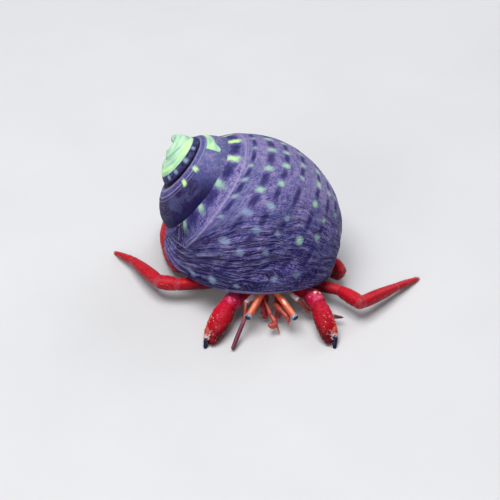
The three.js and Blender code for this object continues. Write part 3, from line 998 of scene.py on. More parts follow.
        # Painted shade: the last whorl but one darkens on its low part, by the lip and the next whorl.
        tone -= second * (0.06 + 1.5 * z.lower_left * rise(degrees, -62.0, -44.0))
        tone -= 0.45 * rise(z.behind, 6.0, 1.5) + 1.3 * z.third + 0.40 * second * hump(degrees, -59.0, 6.0)
        squares = 0.4 * rise(turn, 8.0, 22.0) + 0.25 * rise(turn, -28.0, -4.0)
        tone -= hump(degrees, -56.0, 5.0) * squares
        tone += (0.34 * rise(turn, -40.0, -66.0) - 0.13) * rise(degrees, 0.0, 22.0)
        return tone + 0.20 * rise(z.line, -70.0, -110.0)

    def pale_lines_and_highlights(self, z: Zones, ridges: Array, folds: Array) -> Array:
        """Pale lines, one beside the main cord and two above, and painted highlights on ridge and fold
        crests.

        Args:
            z: places of the points.
            ridges: growth ridges at the points.
            folds: folds at the points.

        Returns:
            1 on a pale line or a highlight and 0 off them.
        """
        middle = np.interp(z.turn, self.stripe_turns, self.stripe_angles)
        main = hump(z.degrees, middle, 1.2) * rise(z.turn, -290.0, -230.0) * rise(z.turn, 24.0, 10.0)
        # Painted highlight on the crests of the growth ridges by the lip.
        crests = z.near_lip * rise(ridges, 0.25, 0.75) * rise(z.degrees, 6.0, -22.0)
        above = z.second * np.maximum(hump(z.degrees, -62.5, 1.5), hump(z.degrees, -53.0, 1.6))
        # The folds' share is a painted highlight on their crests.
        return main + 0.7 * crests + 0.75 * folds + 0.9 * above

    def relief(self, turn: Array, around: Array) -> tuple[Array, dict[str, Array]]:
        """Height over the smooth tube, and the values that colour it.

        The height is the sum of threads, cords (bells of the angle), growth ridges, folds, a
        groove under the upper suture and low lumps, all growing with the tube; wear rubs them out
        towards the spire.

        Args:
            turn: growth angle, in degrees, shape (rings, sides).
            around: angle about the section, in radians, shape (sides,).

        Returns:
            Heights in millimetres, and named fields.
        """
        z = self.zones(turn, around)
        degrees, rough = z.degrees, z.rough
        threads, ridges, folds = self.threads(z), self.ridges(z), self.folds(z)
        bells = [hump(degrees, angle, self.cord_width) * tall
                 for angle, tall in zip(self.cord_angles, self.cord_heights)]
        cord = np.maximum.reduce(bells) / max(self.cord_heights) * rise(turn, 45.0, 5.0)
        side = 1.0 + 0.8 * rise(degrees, 8.0, -24.0) - 0.4 * rise(degrees, 4.0, 26.0)
        # The groove is cut into the surface here and gets painted shade in the shader.
        groove = np.maximum(z.second * hump(degrees, -71.0, 5.0),
                            z.third * hump(z.seam, 0.0, 0.10) * (turn > -900.0))
        height = sum(bells) * (1.0 - 0.8 * z.worn) + self.thread_height * threads + self.fold_height * folds
        height += self.ridge_height * z.near_lip * side * (ridges - 0.2)
        height += 0.05 * (1 - z.near_lip) * ridges * rough
        height += 0.08 * self.lump(z.line / 26, z.across / 4.5) * rough
        height += 0.035 * self.ripple(z.line / 1.4, z.across / 0.5) * rough * (1.0 - 0.7 * z.near_lip)
        height -= self.groove_depth * groove
        height += 0.95 * z.penultimate * hump(degrees, -30.0, 24.0) * rise(turn, -470.0, -340.0)
        height -= 1.2 * rise(turn, -790.0, -860.0) * rise(turn, -1060.0, -960.0)
        height += 0.10 * hump(degrees, -68.0, 2.4) * (1.0 - z.penultimate)
        height += 0.05 * z.third * self.lump(z.line / 40, z.across / 3)
        bare_band = hump(degrees, 21.0, 6.0)
        fade = rise(turn - 11.0 * bare_band, -66.0, -50.0) * rise(degrees, -46.0, -38.0)
        rim = z.third * hump(degrees, -52.0, 6.0) * rise(turn, -840.0, -780.0)
        values = {
            "growth": z.line, "across": z.across, "thread": threads, "groove": groove, "tone": self.tone(z),
            "lamella": z.near_lip * (1.0 - 0.35 * rise(degrees, 4.0, 26.0)),
            "cord": cord * (1 - z.worn), "worn": np.maximum(z.worn, z.patch),
            "fade": np.maximum(fade, 0.85 * z.third), "stripe": self.pale_lines_and_highlights(z, ridges, folds),
            "edge": rise(z.behind, 0.9, 0.2) * hump(degrees, 22.0, 22.0),
            # Painted shade where the last whorl meets the one before, strongest on its low part.
            "crease": z.second * rise(z.seam, -0.26, -0.02) * (0.15 + 0.75 * z.lower_left),
            "lime": np.maximum(0.6 * z.patch, 0.8 * rim), "slate": 0.75 * z.second * (1.0 - z.lower_left),
            **self.spots(turn, around, z.line),
        }
        return height * self.spiral.growth(turn), values

    def outer(self, turn: Array, around: Array) -> tuple[Array, dict[str, Array]]:
        """Outer surface with its relief: the smooth point plus the height along the normal.

        Args:
            turn: growth angle, in degrees, shape (rings, sides).
            around: angle about the section, in radians, shape (sides,).

        Returns:
            Points and their values.
        """
        smooth = self.spiral.point(turn, around[None, :])
        normals = grid_normals(smooth)
        centre = self.spiral.point(turn, np.zeros_like(turn), self.spiral.half_width)
        outside = np.sign(np.median(((smooth - centre) * normals).sum(-1)))
        height, values = self.relief(turn, around)
        covered = self.spiral.covered(turn, around[None, :])
        last = self.spiral.last_turn
        hidden = rise(covered, 0.0, 0.04) * rise(turn + 360.0, last + 4.0, last)
        values["inside"] = hidden * (turn + 360.0 > self.cavity_to)
        return smooth + normals * (outside * height * (1.0 - hidden))[..., None], values

    def body(self) -> Surface:
        """Last whorl as a closed wall: outer face, rounded lip edge and the hollow's face.

        Returns:
            One closed surface.
        """
        around = self.angles(self.sides)
        lip = self.spiral.lip_turn(around)
        share = 1.0 - (1.0 - np.linspace(0.0, 1.0, self.body_rings)) ** 1.5
        turn = self.body_from + (lip - self.body_from)[None, :] * share[:, None]
        rings, values = self.outer(turn, around)
        edge_steps = np.linspace(0.0, np.pi, 7)[1:-1]
        edge_turn = lip[None, :] + 1.6 * np.sin(edge_steps)[:, None]
        edge_inset = self.wall * 0.5 * (1.0 - np.cos(edge_steps))[:, None] + 0 * edge_turn
        edge = self.spiral.point(edge_turn, around[None, :], edge_inset)
        inner_share = np.linspace(0.0, 1.0, self.inner_rings)
        inner_turn = lip[None, :] + (self.cavity_to - lip)[None, :] * inner_share[:, None]
        swell = 1.0 + 0.25 * (rise(inner_share, 0.0, 0.1) - 1.0)
        inner = self.spiral.point(inner_turn, around[None, :], self.wall * swell[:, None] + 0 * inner_turn)
        blank = np.zeros((len(edge) + len(inner), self.sides))
        filled = {name: np.concatenate([grid, blank]) for name, grid in values.items()}
        count = len(rings)
        filled["inside"][count + len(edge):] = rise(inner_share, 0.0, 0.08)[:, None]
        filled["edge"][count] = 0.5 * hump(np.degrees(around), 22.0, 26.0)
        filled["crease"][count + 1:count + len(edge)] = 0.9
        filled["across"][count:] = self.across(around)[None, :]
        filled["growth"][count:] = np.concatenate([edge_turn, inner_turn])
        for name in ("mint", "dark"):
            filled[name][count:] = -2.0
        return Surface.closed_tube(np.concatenate([rings, edge, inner]), filled)

    def spire(self) -> Surface:
        """Upper whorls, from the tip to where the last whorl's piece begins.

        Returns:
            One closed surface.
        """
        around = self.angles(self.spire_sides)
        share = np.linspace(0.0, 1.0, self.spire_rings)
        turn = self.first_turn + (self.body_from - self.first_turn) * share ** 0.85
        return Surface.closed_tube(*self.outer(turn[:, None] + np.zeros((1, self.spire_sides)), around))

    def tip(self) -> Surface:
        """Small rounded knob left at the worn tip: a ball with soft lumps.

        Returns:
            One closed surface.
        """
        spire, _, _ = self.spiral.axes()
        middle = self.spiral.point(np.array([self.first_turn]), np.array([0.0]), self.spiral.half_width)[0]
        pitch = np.linspace(0.06, np.pi - 0.06, 18)[:, None]
        yaw = np.linspace(0.0, 2 * np.pi, 28, endpoint=False)[None, :]
        radius = 0.62 * (1.0 + 0.2 * SmoothNoise(5)(pitch * 1.6, np.cos(yaw) * 1.2 + 3))
        rings = middle + spire * 0.95 + radius[..., None] * np.stack(
            [np.sin(pitch) * np.cos(yaw), np.sin(pitch) * np.sin(yaw), np.cos(pitch) + 0 * yaw], axis=-1)
        levels = {"worn": 0.52, "tone": 0.9, "cord": 0.9, "mint": -2.0, "dark": -2.0}
        values = {name: np.full(rings.shape[:2], level) for name, level in levels.items()}
        return Surface.closed_tube(rings, values)

    def skins(self) -> list[Skin]:
        """The shell's pieces, in place of its solid."""
        surfaces = {"shell_last_whorl": self.body(), "shell_spire": self.spire(), "shell_tip": self.tip()}
        return [Skin(name, surface, self.finish, "shell", "shell") for name, surface in surfaces.items()]


# ---- Tubes along paths, and spikes ----


def curve(at: Array, knots: Sequence[float], values: Sequence) -> Array:
    """Smooth curve through values at knots, straight beyond the ends.

    Between two knots it is the cubic that meets both values with the slopes found there by
    differences of the neighbours.

    Args:
        at: where to read the curve.
        knots: rising places of the values.
        values: one number or one point per knot.

    Returns:
        Numbers or points at the places asked for.
    """
    at, knots, values = (np.asarray(item, float) for item in (at, knots, values))
    slopes = np.gradient(values, knots, axis=0)
    held = np.clip(at, knots[0], knots[-1])
    index = np.clip(np.searchsorted(knots, held, side="right") - 1, 0, len(knots) - 2)
    span = knots[index + 1] - knots[index]
    extra = (1,) * (values.ndim - 1)
    t, span = ((held - knots[index]) / span).reshape(*at.shape, *extra), span.reshape(*at.shape, *extra)
    inside = ((2 * t ** 3 - 3 * t ** 2 + 1) * values[index] + (t ** 3 - 2 * t ** 2 + t) * span * slopes[index]
              + (3 * t ** 2 - 2 * t ** 3) * values[index + 1] + (t ** 3 - t ** 2) * span * slopes[index + 1])
    beyond = (at - held).reshape(*at.shape, *extra)
    return inside + beyond * np.where(beyond < 0, slopes[0], slopes[-1])


Relief = Callable[[Array, Array], Array]


@dataclass
class Loft:
    """Closed tube along a path, whose rounded section changes size.

    reach holds each ring's place along the path, in millimetres from its start; it may run back,
    which folds the skin into a socket. half holds each ring's half width.
    """

    path: Sequence[Point]
    reach: Array
    half: Array
    thickness: float = 1.0
    squareness: float = 2.0
    sides: int = 44
    relief: Optional[Relief] = None
    floor: bool = False

    def frame(self, reach: Array) -> tuple[Array, Array, Array]:
        """Centre and directions of the path, whose forward way is its small step.

        Args:
            reach: places along the path, in millimetres.

        Returns:
            Centres, sideways directions (forward x up) and upward ones (side x forward).
        """
        steps = np.linalg.norm(np.diff(np.array(self.path), axis=0), axis=1)
        knots = np.concatenate([[0.0], np.cumsum(steps)])
        centre = curve(reach, knots, self.path)
        forward = unit(curve(reach + 0.02, knots, self.path) - curve(reach - 0.02, knots, self.path))
        side = unit(np.cross(forward, [0.0, 0.0, 1.0]))
        return centre, side, np.cross(side, forward)

    def grid(self) -> tuple[Array, Array]:
        """Points and normals of the skin.

        A ring's point is centre + side * half * c + up * half * thickness * s, where c and s are
        the cosine and sine raised, with their sign, to the power 2 / squareness.

        Returns:
            Points and outward normals, shape (rings, sides, 3).
        """
        centre, side, up = self.frame(self.reach)
        angle = np.linspace(0.0, 2 * np.pi, self.sides, endpoint=False)
        power = 2.0 / self.squareness
        c = (np.sign(np.cos(angle)) * np.abs(np.cos(angle)) ** power)[None, :, None]
        s = (np.sign(np.sin(angle)) * np.abs(np.sin(angle)) ** power)[None, :, None]
        half = self.half[:, None, None]
        points = centre[:, None] + side[:, None] * half * c + up[:, None] * half * self.thickness * s
        normals = grid_normals(points)
        away = ((points - centre[:, None]) * normals).sum(-1)
        normals = normals * np.sign(np.median(away[len(away) // 4:len(away) // 2 + 1]))
        if self.relief is not None:
            reach, turn = np.meshgrid(self.reach, angle, indexing="ij")
            points = points + normals * self.relief(reach, turn)[..., None]
        if self.floor:
            points[..., 2] = np.maximum(points[..., 2], 0.0)
        return points, normals

    def surface(self, **values: Array) -> Surface:
        """The closed skin, with how far it faces up as the value top, which drives painted light and shade.

        Args:
            values: named numbers, one per ring or one per point.

        Returns:
            The surface.
        """
        points, normals = self.grid()
        shape = points.shape[:2]
        spread = {name: np.broadcast_to(np.asarray(grid, float).reshape(shape[0], -1), shape)
                  for name, grid in values.items()}
        return Surface.closed_tube(points, {"top": normals[..., 2], **spread})


def spikes(roots: Array, directions: Array, radius: Array, length: Array,
           profile: Sequence[tuple[float, float]], sides: int = 6, droop: float = 0.0) -> Surface:
    """Many small closed spikes, knobs or bristles in one surface.

    A spike's ring at share h of its length has centre root + direction * length * h, lowered by
    droop * length * h squared, and the profile's share of its radius.

    Args:
        roots: points where they stand, shape (count, 3).
        directions: unit directions, shape (count, 3).
        radius: their radius at the root, one each.
        length: their length, one each.
        profile: pairs of height share and radius share, from the root up.
        sides: sides of each ring.
        droop: how far the tip hangs, as a share of the length.

    Returns:
        The surface, with the value knob rising from 0 at the roots to 1 at the tips.
    """
    count, levels = len(roots), len(profile)
    side = unit(np.cross(directions, [0.31, 0.17, 0.93]))
    other = np.cross(directions, side)
    angle = np.linspace(0.0, 2 * np.pi, sides, endpoint=False)
    height, share = np.array(profile).T
    circle = side[:, None] * np.cos(angle)[None, :, None] + other[:, None] * np.sin(angle)[None, :, None]
    centre = roots[:, None] + directions[:, None] * (length[:, None] * height[None, :])[..., None]
    centre[..., 2] -= droop * length[:, None] * height[None, :] ** 2
    rings = centre[:, :, None] + circle[:, None] * (radius[:, None] * share[None, :])[..., None, None]
    per = levels * sides + 2
    vertices = np.concatenate([rings.reshape(count, -1, 3), centre[:, :1], centre[:, -1:]], axis=1)
    quads, fans = tube_faces(levels, sides)
    starts = (np.arange(count) * per)[:, None, None]
    knob = np.concatenate([np.repeat(height, sides), [0.0, 1.0]])
    made = Surface(vertices.reshape(-1, 3), (quads[None] + starts).reshape(-1, 4),
                   (fans[None] + starts).reshape(-1, 3),
                   {"knob": np.tile(knob, count), "top": np.repeat(directions[:, 2], per)})
    return made.outwards()


# ---- Finishes of the crab ----


@dataclass(frozen=True)
class CuticleFinish:
    """Wet hard skin: a main colour, with painted light where it faces up and painted shade where it faces
    down, softly mottled.
    """

    name: str
    main: Colour
    # light is the painted lit colour of upward faces and also lightens the pits; dark is the painted shade of
    # downward faces and also the fine dark grain.
    light: Colour
    dark: Colour
    tint: Colour
    joint: Colour
    knob: Colour
    tip: tuple[tuple[float, Colour], ...]
    roughness: float = 0.34
    specular: float = 0.35
    coat: float = 0.12

    @cache
    def material(self) -> Material:
        """Makes the material; it reads the values top, joint, knob and tip of the mesh.

        Returns:
            The material.
        """
        g = ShaderGraph(self.name)
        mottle, grain = g.noise(g.place(), 800.0, 3.0), g.noise(g.place(), 4200.0, 2.0)
        pits = g.rise(g.cells(g.place(), 2600.0, 0.2), 0.24, 0.08)
        # Painted light and shade: upward faces take the light colour and downward ones the dark, broken by
        # mottle.
        painted_light_and_mottle = g.plus(-0.6, (mottle, 1.2), (g.value("top"), 1.0))
        ragged = g.plus(-0.7, (grain, 1.4))
        tip = g.plus(g.value("tip"), (ragged, 0.12))
        g.base = self.main
        g.lay(self.light, painted_light_and_mottle, 0.35, 1.15)
        g.lay(self.dark, painted_light_and_mottle, 0.10, -0.85)
        g.lay(self.tint, mottle, 0.52, 0.70, 0.6)
        g.lay(self.dark, grain, 0.42, 0.28, 0.45)
        g.tint(self.light, pits, 0.35)
        g.lay(self.joint, g.plus(g.value("joint"), (ragged, 1.0)), 0.45, 1.0, 0.5)
        g.lay(self.knob, g.value("knob"), 0.35, 0.85)
        g.lay(g.ramp(tip, self.tip), tip, self.tip[0][0] - 0.12, self.tip[0][0])
        normal = g.bump(g.plus(grain, (pits, -0.6)), 0.5, 0.00004)
        return g.finish(Roughness=g.plus(self.roughness - 0.1, (grain, 0.2)), Normal=normal,
                        Specular_IOR_Level=self.specular, Coat_Weight=self.coat, Coat_Roughness=0.12)


LEG_FINISH = CuticleFinish(
    "scarlet_leg_finish", main=(0.37, 0.003, 0.012), light=(0.60, 0.012, 0.028), dark=(0.11, 0.001, 0.018),
    tint=(0.46, 0.010, 0.010), joint=(0.46, 0.060, 0.10), knob=(0.85, 0.55, 0.60),
    tip=((0.55, (0.50, 0.05, 0.05)), (1.0, (0.56, 0.32, 0.28))), roughness=0.42, specular=0.16, coat=0.0)
CLAW_FINISH = CuticleFinish(
    "scarlet_claw_finish", main=(0.39, 0.001, 0.012), light=(0.60, 0.003, 0.036), dark=(0.085, 0.001, 0.006),
    tint=(0.44, 0.002, 0.008), joint=(0.30, 0.004, 0.02), knob=(0.82, 0.26, 0.18),
    tip=((0.26, (0.44, 0.006, 0.010)), (0.34, (0.54, 0.075, 0.03)), (0.41, (0.50, 0.07, 0.045)),
         (0.45, (0.34, 0.012, 0.02)), (0.485, (0.54, 0.26, 0.26)), (0.515, (0.62, 0.46, 0.46)),
         (0.535, (0.48, 0.36, 0.42)), (0.56, (0.012, 0.010, 0.035)), (0.88, (0.008, 0.010, 0.045)),
         # Last stop: the pink of the painted highlights on the carpus.
         (1.0, (0.72, 0.13, 0.25))),
    roughness=0.42, specular=0.14, coat=0.0)
# The carpus's pink lit colour and pink mottle are a painted sheen; its cream knob colour is the painted
# highlight on the carpus and tips its low knobs.
CARPUS_FINISH = replace(
    CLAW_FINISH, name="scarlet_carpus_finish", main=(0.44, 0.004, 0.034), light=(0.64, 0.030, 0.12),
    tint=(0.66, 0.080, 0.21), knob=(0.95, 0.70, 0.42), roughness=0.34, specular=0.30)
SHIELD_FINISH = CuticleFinish(
    "scarlet_shield_finish", main=(0.36, 0.006, 0.018), light=(0.48, 0.03, 0.05), dark=(0.10, 0.002, 0.012),
    tint=(0.28, 0.02, 0.05), joint=(0.40, 0.08, 0.10), knob=(0.80, 0.50, 0.50),
    tip=((0.9, (0.5, 0.1, 0.1)), (1.0, (0.5, 0.1, 0.1))))
# Its knob colour is the painted highlight on the left eyestalk.
STALK_FINISH = CuticleFinish(
    "orange_stalk_finish", main=(0.64, 0.085, 0.028), light=(0.78, 0.24, 0.12), dark=(0.32, 0.010, 0.006),
    tint=(0.56, 0.045, 0.016), joint=(0.55, 0.12, 0.08), knob=(0.92, 0.60, 0.50),
    tip=((0.80, (0.60, 0.55, 0.60)), (1.0, (0.50, 0.50, 0.62))), roughness=0.30, specular=0.4)
ANTENNULE_FINISH = CuticleFinish(
    "antennule_finish", main=(0.44, 0.040, 0.022), light=(0.56, 0.12, 0.07), dark=(0.16, 0.010, 0.014),
    tint=(0.40, 0.016, 0.014), joint=(0.30, 0.05, 0.06), knob=(0.50, 0.18, 0.14),
    tip=((0.80, (0.60, 0.55, 0.60)), (1.0, (0.50, 0.50, 0.62))), roughness=0.34, specular=0.4)
STEM_FINISH = CuticleFinish(
    "feeler_stem_finish", main=(0.22, 0.030, 0.020), light=(0.30, 0.060, 0.035), dark=(0.08, 0.008, 0.014),
    tint=(0.14, 0.014, 0.020), joint=(0.30, 0.14, 0.16), knob=(0.70, 0.50, 0.58),
    tip=((0.45, (0.34, 0.18, 0.20)), (1.0, (0.74, 0.54, 0.56))))
LASH_FINISH = CuticleFinish(
    "purple_lash_finish", main=(0.13, 0.010, 0.030), light=(0.20, 0.025, 0.055), dark=(0.04, 0.003, 0.014),
    tint=(0.09, 0.012, 0.05), joint=(0.06, 0.004, 0.02), knob=(0.62, 0.34, 0.18),
    tip=((0.9, (0.30, 0.06, 0.10)), (1.0, (0.30, 0.06, 0.10))))


@dataclass(frozen=True)
class CorneaFinish:
    """Wet eye: a pale blue-grey ring with dark flecks round a blue-black middle."""

    pupil: Colour = (0.004, 0.005, 0.02)
    ring: Colour = (0.34, 0.38, 0.50)
    fleck: Colour = (0.10, 0.09, 0.18)

    @cache
    def material(self) -> Material:
        """Makes the material; it reads gaze, 1 in the eye's middle and 0 at its edge.

        Returns:
            The material.
        """
        g = ShaderGraph("cornea_finish")
        grain = g.noise(g.place(), 5200.0, 3.0)
        g.base = self.ring
        g.lay(self.fleck, grain, 0.42, 0.62)
        g.lay(self.pupil, g.plus(-0.125, (grain, 0.25), (g.value("gaze"), 1.0)), 0.40, 0.56)
        facets = g.bump(g.cells(g.place(), 22000.0, 0.1), 0.15, 0.00001)
        return g.finish(Roughness=0.10, Specular_IOR_Level=0.6, Normal=facets)


@dataclass(frozen=True)
class SoftFinish:
    """Soft skin, such as the abdomen's and the joints': translucent, wrinkled, unevenly tinted."""

    name: str
    main: Colour
    vein: Colour

    @cache
    def material(self) -> Material:
        """Makes the material from noise in place.

        Returns:
            The material.
        """
        g = ShaderGraph(self.name)
        cloud, grain = g.noise(g.place(), 500.0, 4.0), g.noise(g.place(), 3000.0, 3.0)
        g.base = self.main
        g.lay(self.vein, cloud, 0.42, 0.66)
        return g.finish(Roughness=g.plus(0.35, (grain, 0.2)), Normal=g.bump(grain, 0.6, 0.00006),
                        Subsurface_Weight=0.3, Subsurface_Radius=(0.0009, 0.0003, 0.0002),
                        Subsurface_Scale=1.0)


MEMBRANE_FINISH = SoftFinish("membrane_finish", (0.34, 0.006, 0.018), (0.42, 0.03, 0.05))
ABDOMEN_FINISH = SoftFinish("abdomen_finish", (0.50, 0.22, 0.15), (0.36, 0.10, 0.08))


@dataclass(frozen=True)
class SetaFinish:
    """Fine pale bristles, a little see-through."""

    root: Colour = (0.30, 0.10, 0.06)
    tip: Colour = (0.62, 0.50, 0.42)
    tan: Colour = (0.42, 0.26, 0.18)

    @cache
    def material(self) -> Material:
        """Makes the material: paler towards the tips.

        Returns:
            The material.
        """
        g = ShaderGraph("seta_finish")
        g.base = self.root
        g.tint(self.tip, g.value("knob"))
        g.tint(self.tan, g.noise(g.place(), 900.0, 2.0), 0.5)
        return g.finish(Roughness=0.5, Specular_IOR_Level=0.3)


# ---- Limbs ----


class Side(Enum):
    """The crab's own right and left."""

    RIGHT = "right"
    LEFT = "left"


@dataclass
class Plate:
    """One hard tube of a limb: a neck, a swelling middle, and a rim round the next one's socket."""

    start: Point
    end: Point
    radii: tuple[float, float, float]
    thickness: float = 0.95
    bow: Point = (0.0, 0.0, 0.0)
    neck: float = 0.86
    rim: float = 0.05
    pointed: bool = False
    cap: float = 1.0
    rings: int = 60
    sides: int = 44
    squareness: float = 2.15
    seed: int = 1
    rough: float = 0.018
    floor: bool = False

    def length(self) -> float:
        """Distance from start to end, in millimetres."""
        return float(np.linalg.norm(np.array(self.end) - np.array(self.start)))

    def forward(self) -> Array:
        """Unit direction from start to end."""
        return unit(np.array(self.end) - np.array(self.start))

    def joint(self, radius: float, sides: int = 36) -> Surface:
        """Ball of soft skin at the plate's end."""
        return ball(self.end, radius, self.forward(), sides=sides).surface()

    def width(self, reach: Array) -> Array:
        """Half width: the parabola through the three radii, narrower at the neck, raised at the rim.

        Args:
            reach: places along the plate, in millimetres from its start.

        Returns:
            Half widths in millimetres.
        """
        first, middle, last = self.radii
        length = self.length()
        t = np.clip(reach / length, 0.0, 1.0)
        swell = (1 - t) * (1 - 2 * t) * first + 4 * t * (1 - t) * middle + t * (2 * t - 1) * last
        swell *= self.neck + (1 - self.neck) * rise(reach, 0.0, 0.9)
        if self.pointed:
            return swell
        raised = hump(reach, length - 0.12, 0.26) - 0.5 * hump(reach, length - 0.7, 0.3)
        return swell * (1 + self.rim * raised)

    def loft(self) -> Loft:
        """The plate as a tube.

        Its near end is a rounded cap. Its far end is a rounded cap too if it is pointed; if not,
        the rim curls over and folds back into a shallow socket.

        Returns:
            The tube, with low uneven lumps: noise of the place on the skin.
        """
        length = self.length()
        near = np.linspace(0.48 * np.pi, 0.0, 9)[:-1]
        reach = [-0.8 * self.radii[0] * np.sin(near), np.linspace(0.0, length, self.rings)]
        half = [self.width(np.zeros(1)) * np.cos(near), self.width(reach[1])]
        far = np.linspace(0.0, 0.48 * np.pi, 11)[1:]
        last = float(self.width(np.array([length]))[0])
        if self.pointed:
            reach.append(length + last * self.cap * np.sin(far))
            half.append(last * np.cos(far))
        else:
            curl = np.linspace(0.0, np.pi, 8)[1:]
            reach.append(length + 0.13 * np.sin(curl))
            half.append(last - 0.07 * last * (1 - np.cos(curl)))
            reach.append(np.array([length - 0.12, length - 0.22]))
            half.append(np.array([last * 0.8, last * 0.5]))
        middle = (np.array(self.start) + np.array(self.end)) / 2 + np.array(self.bow)
        noise = SmoothNoise(self.seed)

        def relief(along: Array, turn: Array) -> Array:
            """Sum of a coarse noise and a fine one, times the roughness."""
            coarse = noise(along * 1.1, np.cos(turn) * 1.6 + 9.0)
            return self.rough * (0.6 * coarse + 0.4 * noise(along * 4.0, np.sin(turn) * 4.0))

        return Loft([self.start, middle, self.end], np.concatenate(reach), np.concatenate(half),
                    self.thickness, self.squareness, self.sides, relief, self.floor)

    def surface(self, tip_from: float = 2.0, tip_to: float = 3.0) -> Surface:
        """Skin with the values joint (1 at both ends) and tip.

        Args:
            tip_from: share of the length where the tip's colours start.
            tip_to: share where they are complete.

        Returns:
            The surface.
        """
        made = self.loft()
        length = self.length()
        ends = np.maximum(hump(made.reach, 0.05, 0.45), hump(made.reach, length, 0.26) * (not self.pointed))
        tip = np.clip((made.reach / length - tip_from) / (tip_to - tip_from), 0.0, 1.0)
        return made.surface(joint=ends, tip=tip)

    def spots(self, count: int, seed: int, low: float, high: float,
              up_from: float = -1.0) -> tuple[Array, Array, Array]:
        """Points scattered over the plate's skin, and their normals.

        Args:
            count: how many to try.
            seed: for the choice.
            low: least share of the length.
            high: greatest share.
            up_from: least upward part of the normal.

        Returns:
            Points and unit normals, shape (number, 3) each, and the shares around and along the
            plate where they lie, shape (number, 2).
        """
        made = self.loft()
        points, normals = made.grid()
        chance = np.random.default_rng(seed)
        share = made.reach / self.length()
        rows = np.flatnonzero((share >= low) & (share <= high) & (np.arange(len(share)) < self.rings + 8))
        row, column = chance.choice(rows, count), chance.integers(0, self.sides, count)
        point, normal = points[row, column], normals[row, column]
        kept = normal[:, 2] >= up_from
        places = np.stack([column / self.sides, share[row]], axis=1)
        return point[kept], normal[kept], places[kept]


def ball(centre: Point, radius: float, axis: Sequence[float], reach: tuple[float, float] = (-1.0, 1.0),
         sides: int = 36) -> Loft:
    """Ball as a tube along an axis: half width is the radius times the sine of the polar angle.

    Args:
        centre: its middle.
        radius: in millimetres.
        axis: direction of the tube.
        reach: where it starts and ends along the axis, as shares of the radius from the middle.
        sides: sides of each ring.

    Returns:
        The tube.
    """
    axis = unit(np.array(axis, float))
    height = np.cos(np.linspace(math.acos(reach[0]) - 0.03, math.acos(reach[1]) + 0.03, 22))
    start = np.array(centre) - axis * radius
    return Loft([tuple(start), tuple(start + axis * 2 * radius)], (height + 1.0) * radius,
                radius * np.sqrt(1.0 - height ** 2), sides=sides)


@dataclass
class WalkingLeg:
    """A leg of four plates, with soft joints between them and a pointed foot on the floor."""

    name: str
    side: Side
    joints: tuple[Point, ...]
    radii: tuple[tuple[float, float, float], ...] = (
        (0.7, 0.95, 0.85), (0.85, 1.06, 0.96), (0.88, 0.92, 0.62), (0.62, 0.52, 0.27))
    parts: tuple[str, ...] = ("merus", "carpus", "propodus", "dactyl")

    def plates(self) -> list[Plate]:
        """The four plates, from the trunk to the foot, which is pointed and stops at the floor.

        Returns:
            The plates.
        """
        return [Plate(self.joints[index], self.joints[index + 1], self.radii[index], pointed=part == "dactyl",
                      seed=20 + index, floor=part == "dactyl", neck=0.96, rim=0.03)
                for index, part in enumerate(self.parts)]

    def skins(self) -> list[Skin]:
        """The leg's plates, the first with painted shade towards the trunk, and its joints in one piece.

        Returns:
            The pieces.
        """
        name = f"{self.name}_{self.side.value}"
        made, plates = [], self.plates()
        for part, plate in zip(self.parts, plates):
            start = 0.80 if part == "dactyl" else 2.0
            surface = plate.surface(start, start + 0.22)
            # Painted shade: the merus darkens towards the trunk, under the shell.
            if part == "merus":
                share = (surface.vertices - plate.start) @ plate.forward() / plate.length()
                surface.values["top"] = surface.values["top"] - 1.4 * rise(share, 0.95, 0.60)
            made.append(Skin(f"{name}_{part}_plate", surface, LEG_FINISH, "scarlet_leg", f"{name}_{part}"))
        soft = Surface.joined([plate.joint(plate.radii[2] * 0.9) for plate in plates[:-1]])
        return [*made, Skin(name + "_joints", soft, MEMBRANE_FINISH, "scarlet_leg")]


@dataclass
class RearLeg:
    """One of the short legs held inside the shell."""

    side: Side
    joints: tuple[Point, ...]

    def skins(self) -> list[Skin]:
        """The leg in one piece, with its joint.

        Returns:
            The piece.
        """
        root, knee, tip = self.joints
        first = Plate(root, knee, (0.45, 0.5, 0.42), rings=30, sides=28)
        second = Plate(knee, tip, (0.42, 0.45, 0.3), pointed=True, rings=30, sides=28)
        piece = Surface.joined([first.surface(), second.surface(0.6, 1.2), first.joint(0.4, 24)])
        node = f"leg4_{self.side.value}"
        return [Skin(node + "_plates", piece, LEG_FINISH, "scarlet_leg", node)]


